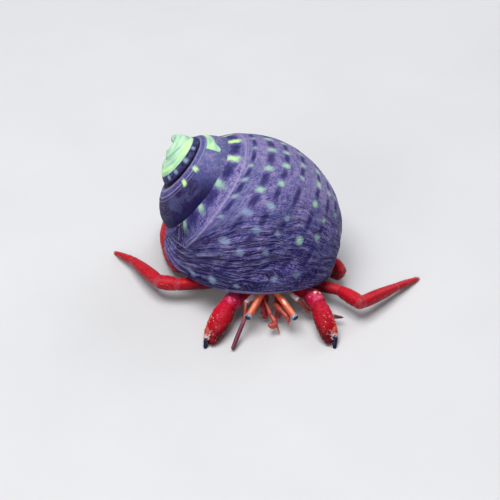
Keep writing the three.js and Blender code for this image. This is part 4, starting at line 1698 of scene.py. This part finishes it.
@dataclass
class Cheliped:
    """A great claw: two arm plates, a broad hand with its fixed finger, and a moving finger.

    Each painted highlight, a swelling on the carpus, has its share along the plate, its share of a half turn
    from the outer side over the top, and its radius; the first few, as many as cream says, are cream, not
    pink.
    """

    side: Side
    shoulder: Point
    elbow: Point
    wrist: Point
    tip: Point
    palm: tuple[float, float, float]
    tip_reach: tuple[float, float]
    highlight_marks: tuple[tuple[float, float, float], ...]
    cream: int = 0
    palm_share: float = 0.52
    thickness: float = 0.8

    def outward(self) -> Array:
        """Level direction across the hand, away from the crab's middle.

        Returns:
            The unit direction.
        """
        forward = unit(np.array(self.tip) - np.array(self.wrist))
        sign = 1.0 if self.side is Side.RIGHT else -1.0
        return sign * unit(np.array([forward[1], -forward[0], 0.0]))

    def hand(self) -> Plate:
        """The palm: from the wrist to the knuckle, a share of the way to the tip.

        Returns:
            The plate.
        """
        wrist, tip = np.array(self.wrist), np.array(self.tip)
        knuckle = wrist + (tip - wrist) * self.palm_share
        return Plate(self.wrist, tuple(knuckle), self.palm, self.thickness, pointed=True, cap=0.9,
                     rings=90, sides=72, squareness=2.1, seed=31, rough=0.05, neck=0.97)

    def finger(self, fixed: bool) -> Plate:
        """The narrow fixed finger, outside, or the broad moving one, which stops short of its tip.

        Args:
            fixed: whether it is the fixed one.

        Returns:
            The plate.
        """
        wrist, tip = np.array(self.wrist), np.array(self.tip)
        forward, out = unit(tip - wrist), self.outward()
        root, end, short = (0.76, 0.10, 0.0) if fixed else (-0.50, -0.46, 1.15)
        start = wrist + (tip - wrist) * self.palm_share + out * root - forward * 0.9
        bow = out * (0.24 if fixed else -0.08) + np.array([0.0, 0.0, 0.10 if fixed else 0.24])
        radii = (0.60, 0.56, 0.24) if fixed else (0.80, 0.86, 0.56)
        stop = tip + out * end - forward * short
        return Plate(tuple(start), tuple(stop), radii, 0.95, tuple(bow), neck=0.97,
                     pointed=True, rings=70, sides=48, seed=34 if fixed else 32, rough=0.03, floor=True)

    def knobs(self, plate: Plate, count: int, low: float, high: float, seed: int, size: float,
              pale: float) -> Surface:
        """Low domes scattered over a plate's upper side.

        Args:
            plate: what they stand on.
            count: how many to try.
            low: least share of its length.
            high: greatest share.
            seed: for the choice.
            size: of the largest, in millimetres.
            pale: 1 for higher, pale-tipped ones on the outer side, less for low ones nearly in the
                plate's colour.

        Returns:
            The surface.
        """
        points, normals, _ = plate.spots(count, seed, low, high, -0.35)
        chance = np.random.default_rng(seed + 1)
        radius = size * chance.uniform(0.5, 1.0, len(points))
        if pale == 1.0:
            kept = normals @ self.outward() > chance.uniform(-0.6, 0.4, len(points))
            points, normals, radius = points[kept], normals[kept], radius[kept]
        lean = unit(normals + 0.4 * plate.forward())
        dome = ((0.0, 1.0), (0.35, 0.92), (0.7, 0.62), (0.92, 0.26))
        made = spikes(points - normals * 0.03, lean, radius, radius * (0.6 + 0.5 * pale), dome, 7)
        made.values["knob"] = made.values["knob"] * pale
        return made

    def carpus_highlights(self, plate: Plate) -> Surface:
        """Smooth swellings on top of the carpus, coloured as painted highlights.

        Args:
            plate: the carpus.

        Returns:
            The swellings: cream by the value knob, pink by the value tip.
        """
        along, across, size = np.array(self.highlight_marks).T
        reach = along * plate.length()
        centre, side, up = plate.loft().frame(reach)
        angle = np.pi * across
        out = side * np.sign(side @ self.outward())[:, None]
        normals = unit(out * np.cos(angle)[:, None] + up * np.sin(angle)[:, None])
        roots = centre + normals * (plate.width(reach) - 0.72 * size)[:, None]
        made = spikes(roots, normals, size, size, ((0.0, 1.0), (0.3, 0.98), (0.55, 0.85), (0.78, 0.62),
                                                   (0.92, 0.36), (0.98, 0.16)), 16)
        cream = np.repeat(np.arange(len(size)) < self.cream, len(made.vertices) // len(size))
        made.values["tip"] = np.where(cream, 0.0, 1.0)
        made.values["knob"] = np.where(cream, 1.0, 0.0)
        return made

    def shaded(self, surface: Surface) -> Surface:
        """Paints shade towards the finger tips and on the side next to the other claw, and light on the outer
        side.

        Args:
            surface: a part of the hand, whose value top is changed.

        Returns:
            The same surface.
        """
        wrist, tip = np.array(self.wrist), np.array(self.tip)
        from_wrist = surface.vertices - wrist
        share = from_wrist @ unit(tip - wrist) / np.linalg.norm(tip - wrist)
        across = from_wrist @ self.outward() / self.palm[1]
        surface.values["top"] = surface.values["top"] + 0.4 * across - 1.0 * rise(share, 0.25, 0.85)
        return surface

    def teeth(self) -> Surface:
        """White knobs between the fingers and on the moving finger's end.

        Returns:
            The surface, with the tip colours' white as its value.
        """
        fixed, moving = self.finger(True), self.finger(False)
        groups = []
        for plate, inward, shares, sizes in (
                (fixed, -self.outward(), (0.36, 0.50, 0.62, 0.74), (0.12, 0.15, 0.15, 0.12)),
                (moving, self.outward(), (0.62, 0.80, 0.95), (0.12, 0.14, 0.14)),
                (moving, -self.outward() * 0.2, (1.06,), (0.12,))):
            reach = np.array(shares) * plate.length()
            centre, _, up = plate.loft().frame(reach)
            width = plate.width(reach)[:, None]
            size = np.array(sizes)
            roots = centre + inward * width * 0.66 + up * width * 0.62
            lean = unit(np.broadcast_to(inward * 0.5, roots.shape) + up)
            groups.append(spikes(roots, lean, size, size * 1.2,
                                 ((0.0, 1.0), (0.4, 0.95), (0.75, 0.65), (0.95, 0.25)), 12))
        made = Surface.joined(groups)
        made.values["knob"] = np.zeros(len(made.vertices))
        made.values["tip"] = np.full(len(made.vertices), 0.51)
        return made

    def skins(self) -> list[Skin]:
        """The claw's plates, with their knobs, painted highlights and teeth, and its joints in one piece.

        Returns:
            The pieces.
        """
        name = f"cheliped_{self.side.value}"
        merus = Plate(self.shoulder, self.elbow, (0.8, 0.95, 0.92), 1.0, seed=41, rough=0.03)
        carpus = Plate(self.elbow, self.wrist, (0.95, 1.24, 1.12), 1.0, seed=42, rough=0.06, neck=0.95,
                       pointed=True, cap=0.5)
        hand, fixed, moving = self.hand(), self.finger(True), self.finger(False)
        palm = Surface.joined([
            hand.surface(), fixed.surface(*self.tip_reach), self.teeth(),
            self.knobs(hand, 420, 0.05, 1.0, 50, 0.15, 0.45), self.knobs(hand, 70, 0.55, 1.0, 51, 0.14, 1.0),
            self.knobs(hand, 34, 0.72, 1.05, 58, 0.22, 1.0),
            self.knobs(fixed, 26, 0.05, 0.45, 53, 0.12, 1.0)])
        arm = Surface.joined([carpus.surface(), self.knobs(carpus, 170, 0.1, 0.95, 55, 0.14, 0.45),
                              self.carpus_highlights(carpus)])
        far = Surface.joined([moving.surface(1.3, 2.0), self.knobs(moving, 240, 0.05, 0.95, 56, 0.13, 0.45),
                              self.knobs(moving, 30, 0.1, 0.8, 57, 0.13, 1.0)])
        parts = {"merus": merus.surface(), "carpus": arm, "palm": self.shaded(palm),
                 "finger": self.shaded(far)}
        made = [Skin(f"{name}_{part}_plate", surface, CARPUS_FINISH if part == "carpus" else CLAW_FINISH,
                     "scarlet_claw", f"{name}_{part}") for part, surface in parts.items()]
        soft = Surface.joined([merus.joint(0.85), carpus.joint(0.78)])
        return [*made, Skin(name + "_joints", soft, MEMBRANE_FINISH, "scarlet_claw")]


# ---- Head ----


@dataclass
class Eye:
    """An eye on its stalk: an orange tube, with a painted highlight if wanted, and a dark-centred ball."""

    side: Side
    root: Point
    tip: Point
    painted_highlight: float = 0.0
    radius: float = 0.53

    def skins(self) -> list[Skin]:
        """The stalk, a tube whose half widths follow a curve, and the eye, most of a ball.

        Returns:
            The two pieces.
        """
        root, tip = np.array(self.root), np.array(self.tip)
        axis = unit(tip - root)
        length = float(np.linalg.norm(tip - root))
        reach = np.concatenate([np.array([-0.25, -0.2, -0.1]), np.linspace(0.0, length - 0.02, 60),
                                length + np.array([0.03, 0.05, 0.02, -0.1])])
        waist = curve(np.clip(reach / length, 0, 1), (0.0, 0.45, 0.85, 1.0), (0.50, 0.47, 0.48, 0.50))
        half = waist * np.concatenate([[0.3, 0.7, 0.92], np.ones(60), [0.97, 0.9, 0.84, 0.5]])
        noise = SmoothNoise(61)
        tube = Loft([self.root, self.tip], reach, half, 0.97, 2.0, 40,
                    lambda along, turn: 0.012 * noise(along * 2.0, np.cos(turn) * 2 + 5))
        spot = rise(np.clip(reach / length, 0, 1), 0.955, 1.0)
        body = tube.surface(tip=spot)
        share = (body.vertices - root) @ axis / length
        across = unit(np.cross(axis, np.array([0.0, 0.0, 1.0])))
        lean = (body.vertices - root) @ across / 0.48
        # Painted highlight: a pale patch half way along the stalk's upper side.
        seen = hump(share, 0.45, 0.15) * hump(lean, 0.38, 0.50) * (body.values["top"] > 0)
        body.values["knob"] = self.painted_highlight * seen
        eye = ball(self.tip, self.radius, axis, (-0.4, 1.0), 48)
        middle = eye.surface(gaze=np.clip(eye.reach / self.radius - 1.0, 0.0, 1.0))
        stalk, cornea = f"eyestalk_{self.side.value}", f"cornea_{self.side.value}"
        return [Skin(stalk + "_tube", body, STALK_FINISH, "orange_eyestalk", stalk),
                Skin(cornea + "_ball", middle, CorneaFinish(), "dark_cornea", cornea)]


@dataclass
class Feeler:
    """A feeler: a jointed stem and one or two lashes of fine rings."""

    name: str
    side: Side
    stem: tuple[Point, ...]
    stem_half: tuple[float, ...]
    lashes: tuple[tuple[tuple[Point, ...], tuple[float, ...]], ...]
    slot: str
    pale_base: float = 0.0
    comb: bool = False
    ring_pitch: float = 0.2

    def tube(self, path: Sequence[Point], half: Sequence[float], pitch: float) -> Surface:
        """A round tube along a path, closed with rounded ends and cut by fine rings.

        Args:
            path: points it passes through.
            half: half widths, evenly spaced along it.
            pitch: distance between rings, in millimetres, or 0 for none.

        Returns:
            The surface; joint is 1 in the narrows between rings.
        """
        length = float(np.linalg.norm(np.diff(np.array(path), axis=0), axis=1).sum())
        count = int(np.clip(length / 0.045, 40, 260))
        reach = np.linspace(0.0, length, count)
        width = curve(reach / length, np.linspace(0, 1, len(half)), half)
        ends = np.sqrt(np.clip(np.minimum(reach, length - reach) / width[0], 0.02, 1.0))
        width = width * np.clip(ends, 0.0, 1.0)
        narrow = hump((reach / pitch) % 1.0, 0.5, 0.16) if pitch else np.zeros(count)
        tube = Loft(path, reach, width * (1.0 - 0.10 * narrow), 1.0, 2.0, 24)
        return tube.surface(joint=narrow, tip=np.clip(1.0 - reach / length, 0, 1) * self.pale_base)

    def skins(self) -> list[Skin]:
        """The stem, a plate for each joint, and the lashes.

        Returns:
            The two pieces.
        """
        name = f"{self.name}_{self.side.value}"
        parts = []
        for index in range(len(self.stem) - 1):
            plate = Plate(self.stem[index], self.stem[index + 1], self.stem_half[index:index + 3], 1.0,
                          neck=0.8, rim=0.12, rings=40, sides=28, seed=70 + index, rough=0.01)
            paler = index == 0 and self.pale_base > 0
            parts.append(plate.surface(-1.0, 0.4) if paler else plate.surface())
        whips = [self.tube(path, half, self.ring_pitch) for path, half in self.lashes]
        if self.comb:
            whips.append(self.comb_hairs(self.lashes[0][0]))
        stem, lash = (ANTENNULE_FINISH,) * 2 if self.comb else (STEM_FINISH, LASH_FINISH)
        return [Skin(name + "_stem", Surface.joined(parts), stem, self.slot, name),
                Skin(name + "_whip", Surface.joined(whips), lash, "purple_lash", name + "_lash")]

    def comb_hairs(self, path: Sequence[Point]) -> Surface:
        """Dense soft hairs under the short lash, in rows across it, all leaning to its tip.

        Args:
            path: points that the lash passes through.

        Returns:
            The surface.
        """
        chance = np.random.default_rng(77)
        start, end = np.array(path[0]), np.array(path[-1])
        share = chance.uniform(0.15, 0.95, 90)
        forward = unit(end - start)
        side = unit(np.cross(forward, [0.0, 0.0, 1.0]))
        roots = start + (end - start) * share[:, None] + side * chance.uniform(-0.14, 0.14, 90)[:, None]
        sway = side * chance.uniform(-0.3, 0.3, 90)[:, None]
        lean = unit(forward * 0.55 + np.array([0.0, 0.0, -1.0]) + sway)
        length = chance.uniform(0.45, 0.62, 90) * (1.1 - 0.5 * share)
        return spikes(roots, lean, np.full(90, 0.035), length, ((0.0, 1.0), (0.5, 0.8), (1.0, 0.15)), 5)


@dataclass
class Mouth:
    """One of the pair of small limbs folded under the mouth."""

    side: Side
    joints: tuple[Point, ...]

    def skins(self) -> list[Skin]:
        """The limb in one piece, with its joint and short bristles at its end.

        Returns:
            The piece.
        """
        root, knee, tip = self.joints
        first = Plate(root, knee, (0.4, 0.48, 0.42), 0.9, rings=30, sides=28, seed=81)
        second = Plate(knee, tip, (0.42, 0.42, 0.26), 0.9, pointed=True, rings=30, sides=28, seed=82)
        points, normals, _ = second.spots(120, 83, 0.2, 1.0)
        length = np.random.default_rng(84).uniform(0.3, 0.55, len(points))
        hairs = spikes(points, unit(normals + 1.2 * second.forward()), np.full(len(points), 0.02), length,
                       ((0.0, 1.0), (0.5, 0.7), (1.0, 0.1)), 5)
        piece = Surface.joined([first.surface(), second.surface(), hairs, first.joint(0.38, 24)])
        node = f"maxilliped_{self.side.value}"
        return [Skin(node + "_limb", piece, SHIELD_FINISH, "scarlet_leg", node)]


# ---- Trunk ----


@dataclass
class Trunk:
    """The hard shield and the thorax under it, and the soft abdomen curled up in the shell."""

    front: Point = (2.95, -4.3, 4.3)
    rear: Point = (2.1, -0.8, 5.0)
    shield_front: Point = (2.95, -4.5, 4.65)
    shield_rear: Point = (2.1, -0.8, 5.6)
    shield_edge: float = 4.9
    abdomen_turns: tuple[float, float] = (-22.0, -160.0)
    abdomen_radii: tuple[float, float] = (2.5, 1.2)
    spiral: Spiral = field(default_factory=Spiral)

    def thorax(self) -> Surface:
        """Thorax: a flattened spindle with low ribs, a cosine of the way along it.

        Returns:
            The surface.
        """
        plate = Plate(self.front, self.rear, (1.7, 2.8, 2.5), 0.6, pointed=True, rings=80, sides=80, neck=1.0)
        loft = plate.loft()
        loft.relief = lambda along, turn: 0.06 * np.cos(along * 2 * np.pi / 0.9) * np.abs(np.cos(turn)) - 0.04
        return loft.surface()

    def shield(self) -> Surface:
        """Shield: a low dome with a groove across it and small lumps, flat underneath.

        Returns:
            The surface.
        """
        plate = Plate(self.shield_front, self.shield_rear, (1.9, 3.0, 2.7), 0.62, pointed=True, rings=90,
                      sides=100, neck=1.0)
        loft = plate.loft()
        noise = SmoothNoise(91)

        def relief(along: Array, turn: Array) -> Array:
            """Bell of the distance from a bowed line, for the groove, and noise."""
            bowed = along - 1.9 - 0.7 * np.cos(turn) ** 2
            return -0.14 * hump(bowed, 0.0, 0.16) + 0.05 * noise(along * 2.5, np.cos(turn) * 5) - 0.03

        loft.relief = relief
        made = loft.surface()
        made.vertices[:, 2] = np.maximum(made.vertices[:, 2], self.shield_edge)
        return made

    def abdomen(self) -> Surface:
        """Abdomen: a soft tapering sack along the shell's tube, wrinkled across by a cosine.

        Returns:
            The surface.
        """
        share = np.linspace(0.0, 1.0, 120)
        turn = self.abdomen_turns[0] + (self.abdomen_turns[1] - self.abdomen_turns[0]) * share
        centre = self.spiral.point(turn, np.zeros_like(turn), self.spiral.half_width)
        rounding = np.sqrt(np.sin(np.pi * (0.12 + 0.76 * share)))
        radius = (self.abdomen_radii[0] + (self.abdomen_radii[1] - self.abdomen_radii[0]) * share) * rounding
        radius = radius * (1.0 - 0.035 * (0.5 + 0.5 * np.cos(share * 2 * np.pi * 17)) - 0.02)
        outward = unit(self.spiral.point(turn, np.zeros_like(turn)) - centre)
        along, _, _ = self.spiral.axes()
        angle = np.linspace(0.0, 2 * np.pi, 60, endpoint=False)
        circle = outward[:, None] * np.cos(angle)[None, :, None] + along * np.sin(angle)[None, :, None]
        return Surface.closed_tube(centre[:, None] + radius[:, None, None] * circle)

    def skins(self) -> list[Skin]:
        """The thorax, the shield and the abdomen.

        Returns:
            The three pieces.
        """
        return [Skin("thorax_plates", self.thorax(), SHIELD_FINISH, "scarlet_shell_plate", "thorax"),
                Skin("carapace_shield", self.shield(), SHIELD_FINISH, "scarlet_shell_plate", "carapace"),
                Skin("abdomen_skin", self.abdomen(), ABDOMEN_FINISH, "soft_abdomen", "abdomen")]


# ---- Crab ----


LEGS = (
    WalkingLeg("leg2", Side.RIGHT, ((-0.7, -0.9, 2.9), (-10.1, -2.15, 2.95), (-12.8, -1.55, 2.95),
                                    (-16.85, 4.7, 1.6), (-19.8, 8.3, 0.2))),
    WalkingLeg("leg2", Side.LEFT, ((5.1, -0.6, 2.9), (12.5, -3.1, 2.72), (15.4, -6.05, 2.9),
                                   (20.6, -1.1, 1.5), (24.2, 2.4, 0.2)),
               ((0.7, 0.86, 0.74), (0.76, 1.0, 0.95), (0.88, 0.88, 0.58), (0.58, 0.5, 0.26))),
    WalkingLeg("leg3", Side.RIGHT, ((-0.9, 1.4, 2.8), (-10.6, 3.2, 1.8), (-11.8, 7.2, 1.5),
                                    (-12.75, 11.6, 1.1), (-12.7, 16.3, 0.2))),
    WalkingLeg("leg3", Side.LEFT, ((5.1, 1.6, 2.8), (11.6, 4.0, 2.2), (13.15, 0.75, 2.95),
                                   (12.5, 1.8, 1.0), (9.6, 4.9, 0.2)),
               ((0.7, 0.86, 0.8), (0.8, 0.95, 0.56), (0.52, 0.66, 0.5), (0.5, 0.45, 0.26))),
)
REAR_LEGS = (
    RearLeg(Side.RIGHT, ((-0.8, 0.6, 5.2), (-3.4, 0.7, 5.4), (-5.0, -0.5, 5.0))),
    RearLeg(Side.LEFT, ((5.0, 0.9, 5.2), (7.4, 1.0, 5.4), (8.7, -0.2, 5.0))),
)
CLAWS = (
    Cheliped(Side.RIGHT, (1.0, -2.2, 2.8), (-1.4, -4.45, 2.95), (-3.05, -6.85, 3.2), (-6.05, -12.2, 0.2),
             (1.08, 1.46, 1.38), (-0.24, 1.57),
             ((0.52, 0.62, 0.22), (0.58, 0.42, 0.20), (0.84, 0.72, 0.30), (0.88, 0.50, 0.28),
              (0.72, 0.30, 0.16), (0.98, 0.60, 0.20))),
    Cheliped(Side.LEFT, (4.95, -2.1, 2.8), (8.2, -4.05, 2.95), (9.45, -6.6, 3.2), (11.5, -12.2, 0.2),
             (1.03, 1.34, 1.28), (-0.16, 1.36),
             ((0.60, 0.46, 0.36), (0.66, 0.30, 0.33), (0.66, 0.75, 0.24), (0.72, 0.55, 0.24),
              (0.92, 0.70, 0.22), (0.96, 0.45, 0.20), (0.86, 0.25, 0.15)), 2),
)
EYES = (
    Eye(Side.RIGHT, (1.85, -5.7, 4.75), (-0.16, -9.15, 3.18)),
    Eye(Side.LEFT, (3.75, -5.7, 4.5), (6.08, -9.15, 3.07), 0.9),
)
FEELERS = (
    Feeler("antennule", Side.RIGHT, ((2.0, -5.9, 3.5), (2.8, -7.6, 2.25), (3.45, -8.6, 1.65)),
           (0.16, 0.24, 0.30, 0.32),
           ((((3.4, -8.55, 1.7), (3.45, -8.95, 1.45), (3.05, -9.3, 1.5), (2.55, -9.4, 1.9)),
             (0.30, 0.40, 0.44, 0.38, 0.24)),
            (((3.45, -8.7, 1.55), (3.85, -9.15, 0.9), (4.1, -9.6, 0.3)), (0.17, 0.12, 0.06))),
           "orange_eyestalk", 0.0, True),
    Feeler("antennule", Side.LEFT, ((3.3, -6.2, 3.05), (4.3, -7.5, 2.8), (5.1, -8.4, 2.45)),
           (0.24, 0.38, 0.36, 0.34),
           ((((5.05, -8.35, 2.45), (5.3, -8.65, 2.3), (5.45, -8.9, 2.1)), (0.32, 0.30, 0.2)),
            (((5.1, -8.45, 2.35), (5.25, -8.9, 1.9), (5.3, -9.2, 1.6)), (0.16, 0.12, 0.06))),
           "orange_eyestalk", 0.0, True),
    Feeler("antenna", Side.RIGHT, ((0.85, -5.3, 4.0), (-0.55, -6.95, 3.75), (-0.75, -8.9, 2.4)),
           (0.34, 0.38, 0.30, 0.26),
           ((((-0.75, -8.9, 2.4), (-1.65, -11.0, 1.32), (-2.42, -12.9, 0.36)), (0.27, 0.31, 0.32, 0.28)),),
           "scarlet_leg", 1.0),
    Feeler("antenna", Side.LEFT, ((5.55, -4.95, 3.8), (6.65, -6.05, 3.5), (8.2, -6.5, 1.7)),
           (0.32, 0.36, 0.32, 0.3),
           ((((8.2, -6.5, 1.7), (10.6, -7.0, 1.4), (13.0, -7.3, 1.3)), (0.27, 0.30, 0.34, 0.12)),),
           "scarlet_leg", 1.0),
)
MOUTHS = (
    Mouth(Side.RIGHT, ((2.3, -4.7, 2.8), (1.8, -6.1, 2.0), (2.2, -6.9, 0.9))),
    Mouth(Side.LEFT, ((3.7, -4.7, 2.8), (4.2, -6.1, 2.0), (3.8, -6.9, 0.9))),
)


@dataclass
class Setae:
    """Sparse pale bristles on the legs and claws, lying towards the tips.

    Their unwrap is the plates' own: each plate is a tile of a square, and each bristle is a small
    patch where its root stands on the tile.
    """

    per_plate: int = 80
    radius: float = 0.015
    tiles: int = 5
    patch: float = 0.003

    def bristles(self, plate: Plate, index: int) -> Surface:
        """The bristles of one plate.

        Args:
            plate: what they grow on.
            index: the plate's number, which chooses its tile and its seed.

        Returns:
            The surface, with the values across and along.
        """
        points, normals, places = plate.spots(self.per_plate, 200 + index, 0.05, 0.97)
        chance = np.random.default_rng(300 + index)
        lean = unit(normals + plate.forward() * 0.9)
        length = chance.uniform(0.16, 0.38, len(points))
        made = spikes(points - normals * 0.01, lean, np.full(len(points), self.radius), length,
                      ((0.0, 1.0), (0.5, 0.75), (1.0, 0.12)), 4, 0.1)
        corner = np.array([index % self.tiles, index // self.tiles])
        roots = (corner + 0.04 + 0.92 * places * (1.0, 0.9)) / self.tiles
        each = len(made.vertices) // len(points)
        number = np.arange(each)
        made.values["across"] = (roots[:, :1] + self.patch * ((number % 4) / 4.0 - 0.4)).ravel()
        made.values["along"] = (roots[:, 1:] + self.patch * (np.clip(number // 4, 0, 3) / 3.0 - 0.5)).ravel()
        return made

    def skins(self) -> list[Skin]:
        """The bristles of all the leg and claw plates in one piece.

        Returns:
            The piece.
        """
        plates = [plate for leg in LEGS for plate in leg.plates()[1:]]
        plates += [plate for claw in CLAWS for plate in (claw.hand(), claw.finger(True), claw.finger(False))]
        coat = Surface.joined([self.bristles(plate, index) for index, plate in enumerate(plates)])
        return [Skin("setae_coat", coat, SetaFinish(), "scarlet_leg")]


# ---- Studio ----


@dataclass
class Studio:
    """Pale floor, soft lights and the camera."""

    target: Point = (0.0, 0.0, 7.45)
    distance: float = 220.0
    elevation: float = 39.0
    lens: float = 113.14
    sensor: float = 36.0

    def floor(self) -> None:
        """Lays a wide pale floor."""
        bpy.ops.mesh.primitive_plane_add(size=4.0, location=(0.0, 0.0, 0.0))
        floor = bpy.context.object
        floor.name = "floor"
        g = ShaderGraph("floor_finish")
        grain = g.noise(g.place(), 60.0, 3.0)
        g.base = g.mix(grain, (0.66, 0.66, 0.67), (0.72, 0.72, 0.73))
        floor.data.materials.append(g.finish(Roughness=0.8))

    def light(self, name: str, place: Point, size: float, power: float, colour: Colour) -> None:
        """Hangs one square soft light that faces the crab.

        Args:
            name: the light's name.
            place: its place, in millimetres.
            size: its side, in metres.
            power: in watts.
            colour: its tint.
        """
        data = bpy.data.lights.new(name, "AREA")
        data.size = size
        data.energy = power
        data.color = colour
        lamp = bpy.data.objects.new(name, data)
        lamp.location = Vector([0.001 * value for value in place])
        lamp.rotation_mode = "QUATERNION"
        lamp.rotation_quaternion = (-lamp.location).to_track_quat("-Z", "Y")
        bpy.context.scene.collection.objects.link(lamp)

    def lights(self) -> None:
        """Hangs a large light overhead, weaker ones in front and behind, and a pale sky."""
        self.light("overhead_light", (-60.0, -40.0, 420.0), 0.30, 1.7, (1.0, 1.0, 1.0))
        self.light("front_light", (-220.0, -330.0, 180.0), 0.25, 0.5, (1.0, 0.98, 0.96))
        self.light("back_light", (260.0, 300.0, 240.0), 0.25, 0.45, (0.95, 0.97, 1.0))
        world = bpy.context.scene.world or bpy.data.worlds.new("studio")
        bpy.context.scene.world = world
        world.use_nodes = True
        background = world.node_tree.nodes["Background"]
        background.inputs["Color"].default_value = (0.9, 0.93, 1.0, 1.0)
        background.inputs["Strength"].default_value = 0.22

    def camera(self) -> None:
        """Stands the camera in front of the crab and above it, looking down at its shell."""
        data = bpy.data.cameras.new("camera")
        data.lens = self.lens
        data.sensor_width = self.sensor
        data.clip_start, data.clip_end = 0.01, 5.0
        camera = bpy.data.objects.new("camera", data)
        target = Vector(PLACEMENT.metres(np.array(self.target)))
        elevation = math.radians(self.elevation)
        back = Vector((0.0, -math.cos(elevation), math.sin(elevation)))
        camera.location = target + back * self.distance * PLACEMENT.millimetre
        camera.rotation_mode = "QUATERNION"
        camera.rotation_quaternion = (-back).to_track_quat("-Z", "Y")
        bpy.context.scene.collection.objects.link(camera)
        bpy.context.scene.camera = camera

    def build(self) -> None:
        """Sets the whole stage."""
        self.floor()
        self.lights()
        self.camera()
        bpy.context.scene.view_settings.view_transform = "Standard"


def main() -> None:
    """Builds the pieces in order, from the shell to the bristles."""
    logging.basicConfig(level=logging.INFO, format="%(message)s")
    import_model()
    Studio().build()
    for part in (Shell(), Trunk(), *LEGS, *REAR_LEGS, *CLAWS, *EYES, *FEELERS, *MOUTHS, Setae()):
        for skin in part.skins():
            piece = skin.build()
            LOG.info("%s: %d faces", piece.name, len(piece.data.polygons))
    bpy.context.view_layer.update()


if __name__ == "__main__":
    main()
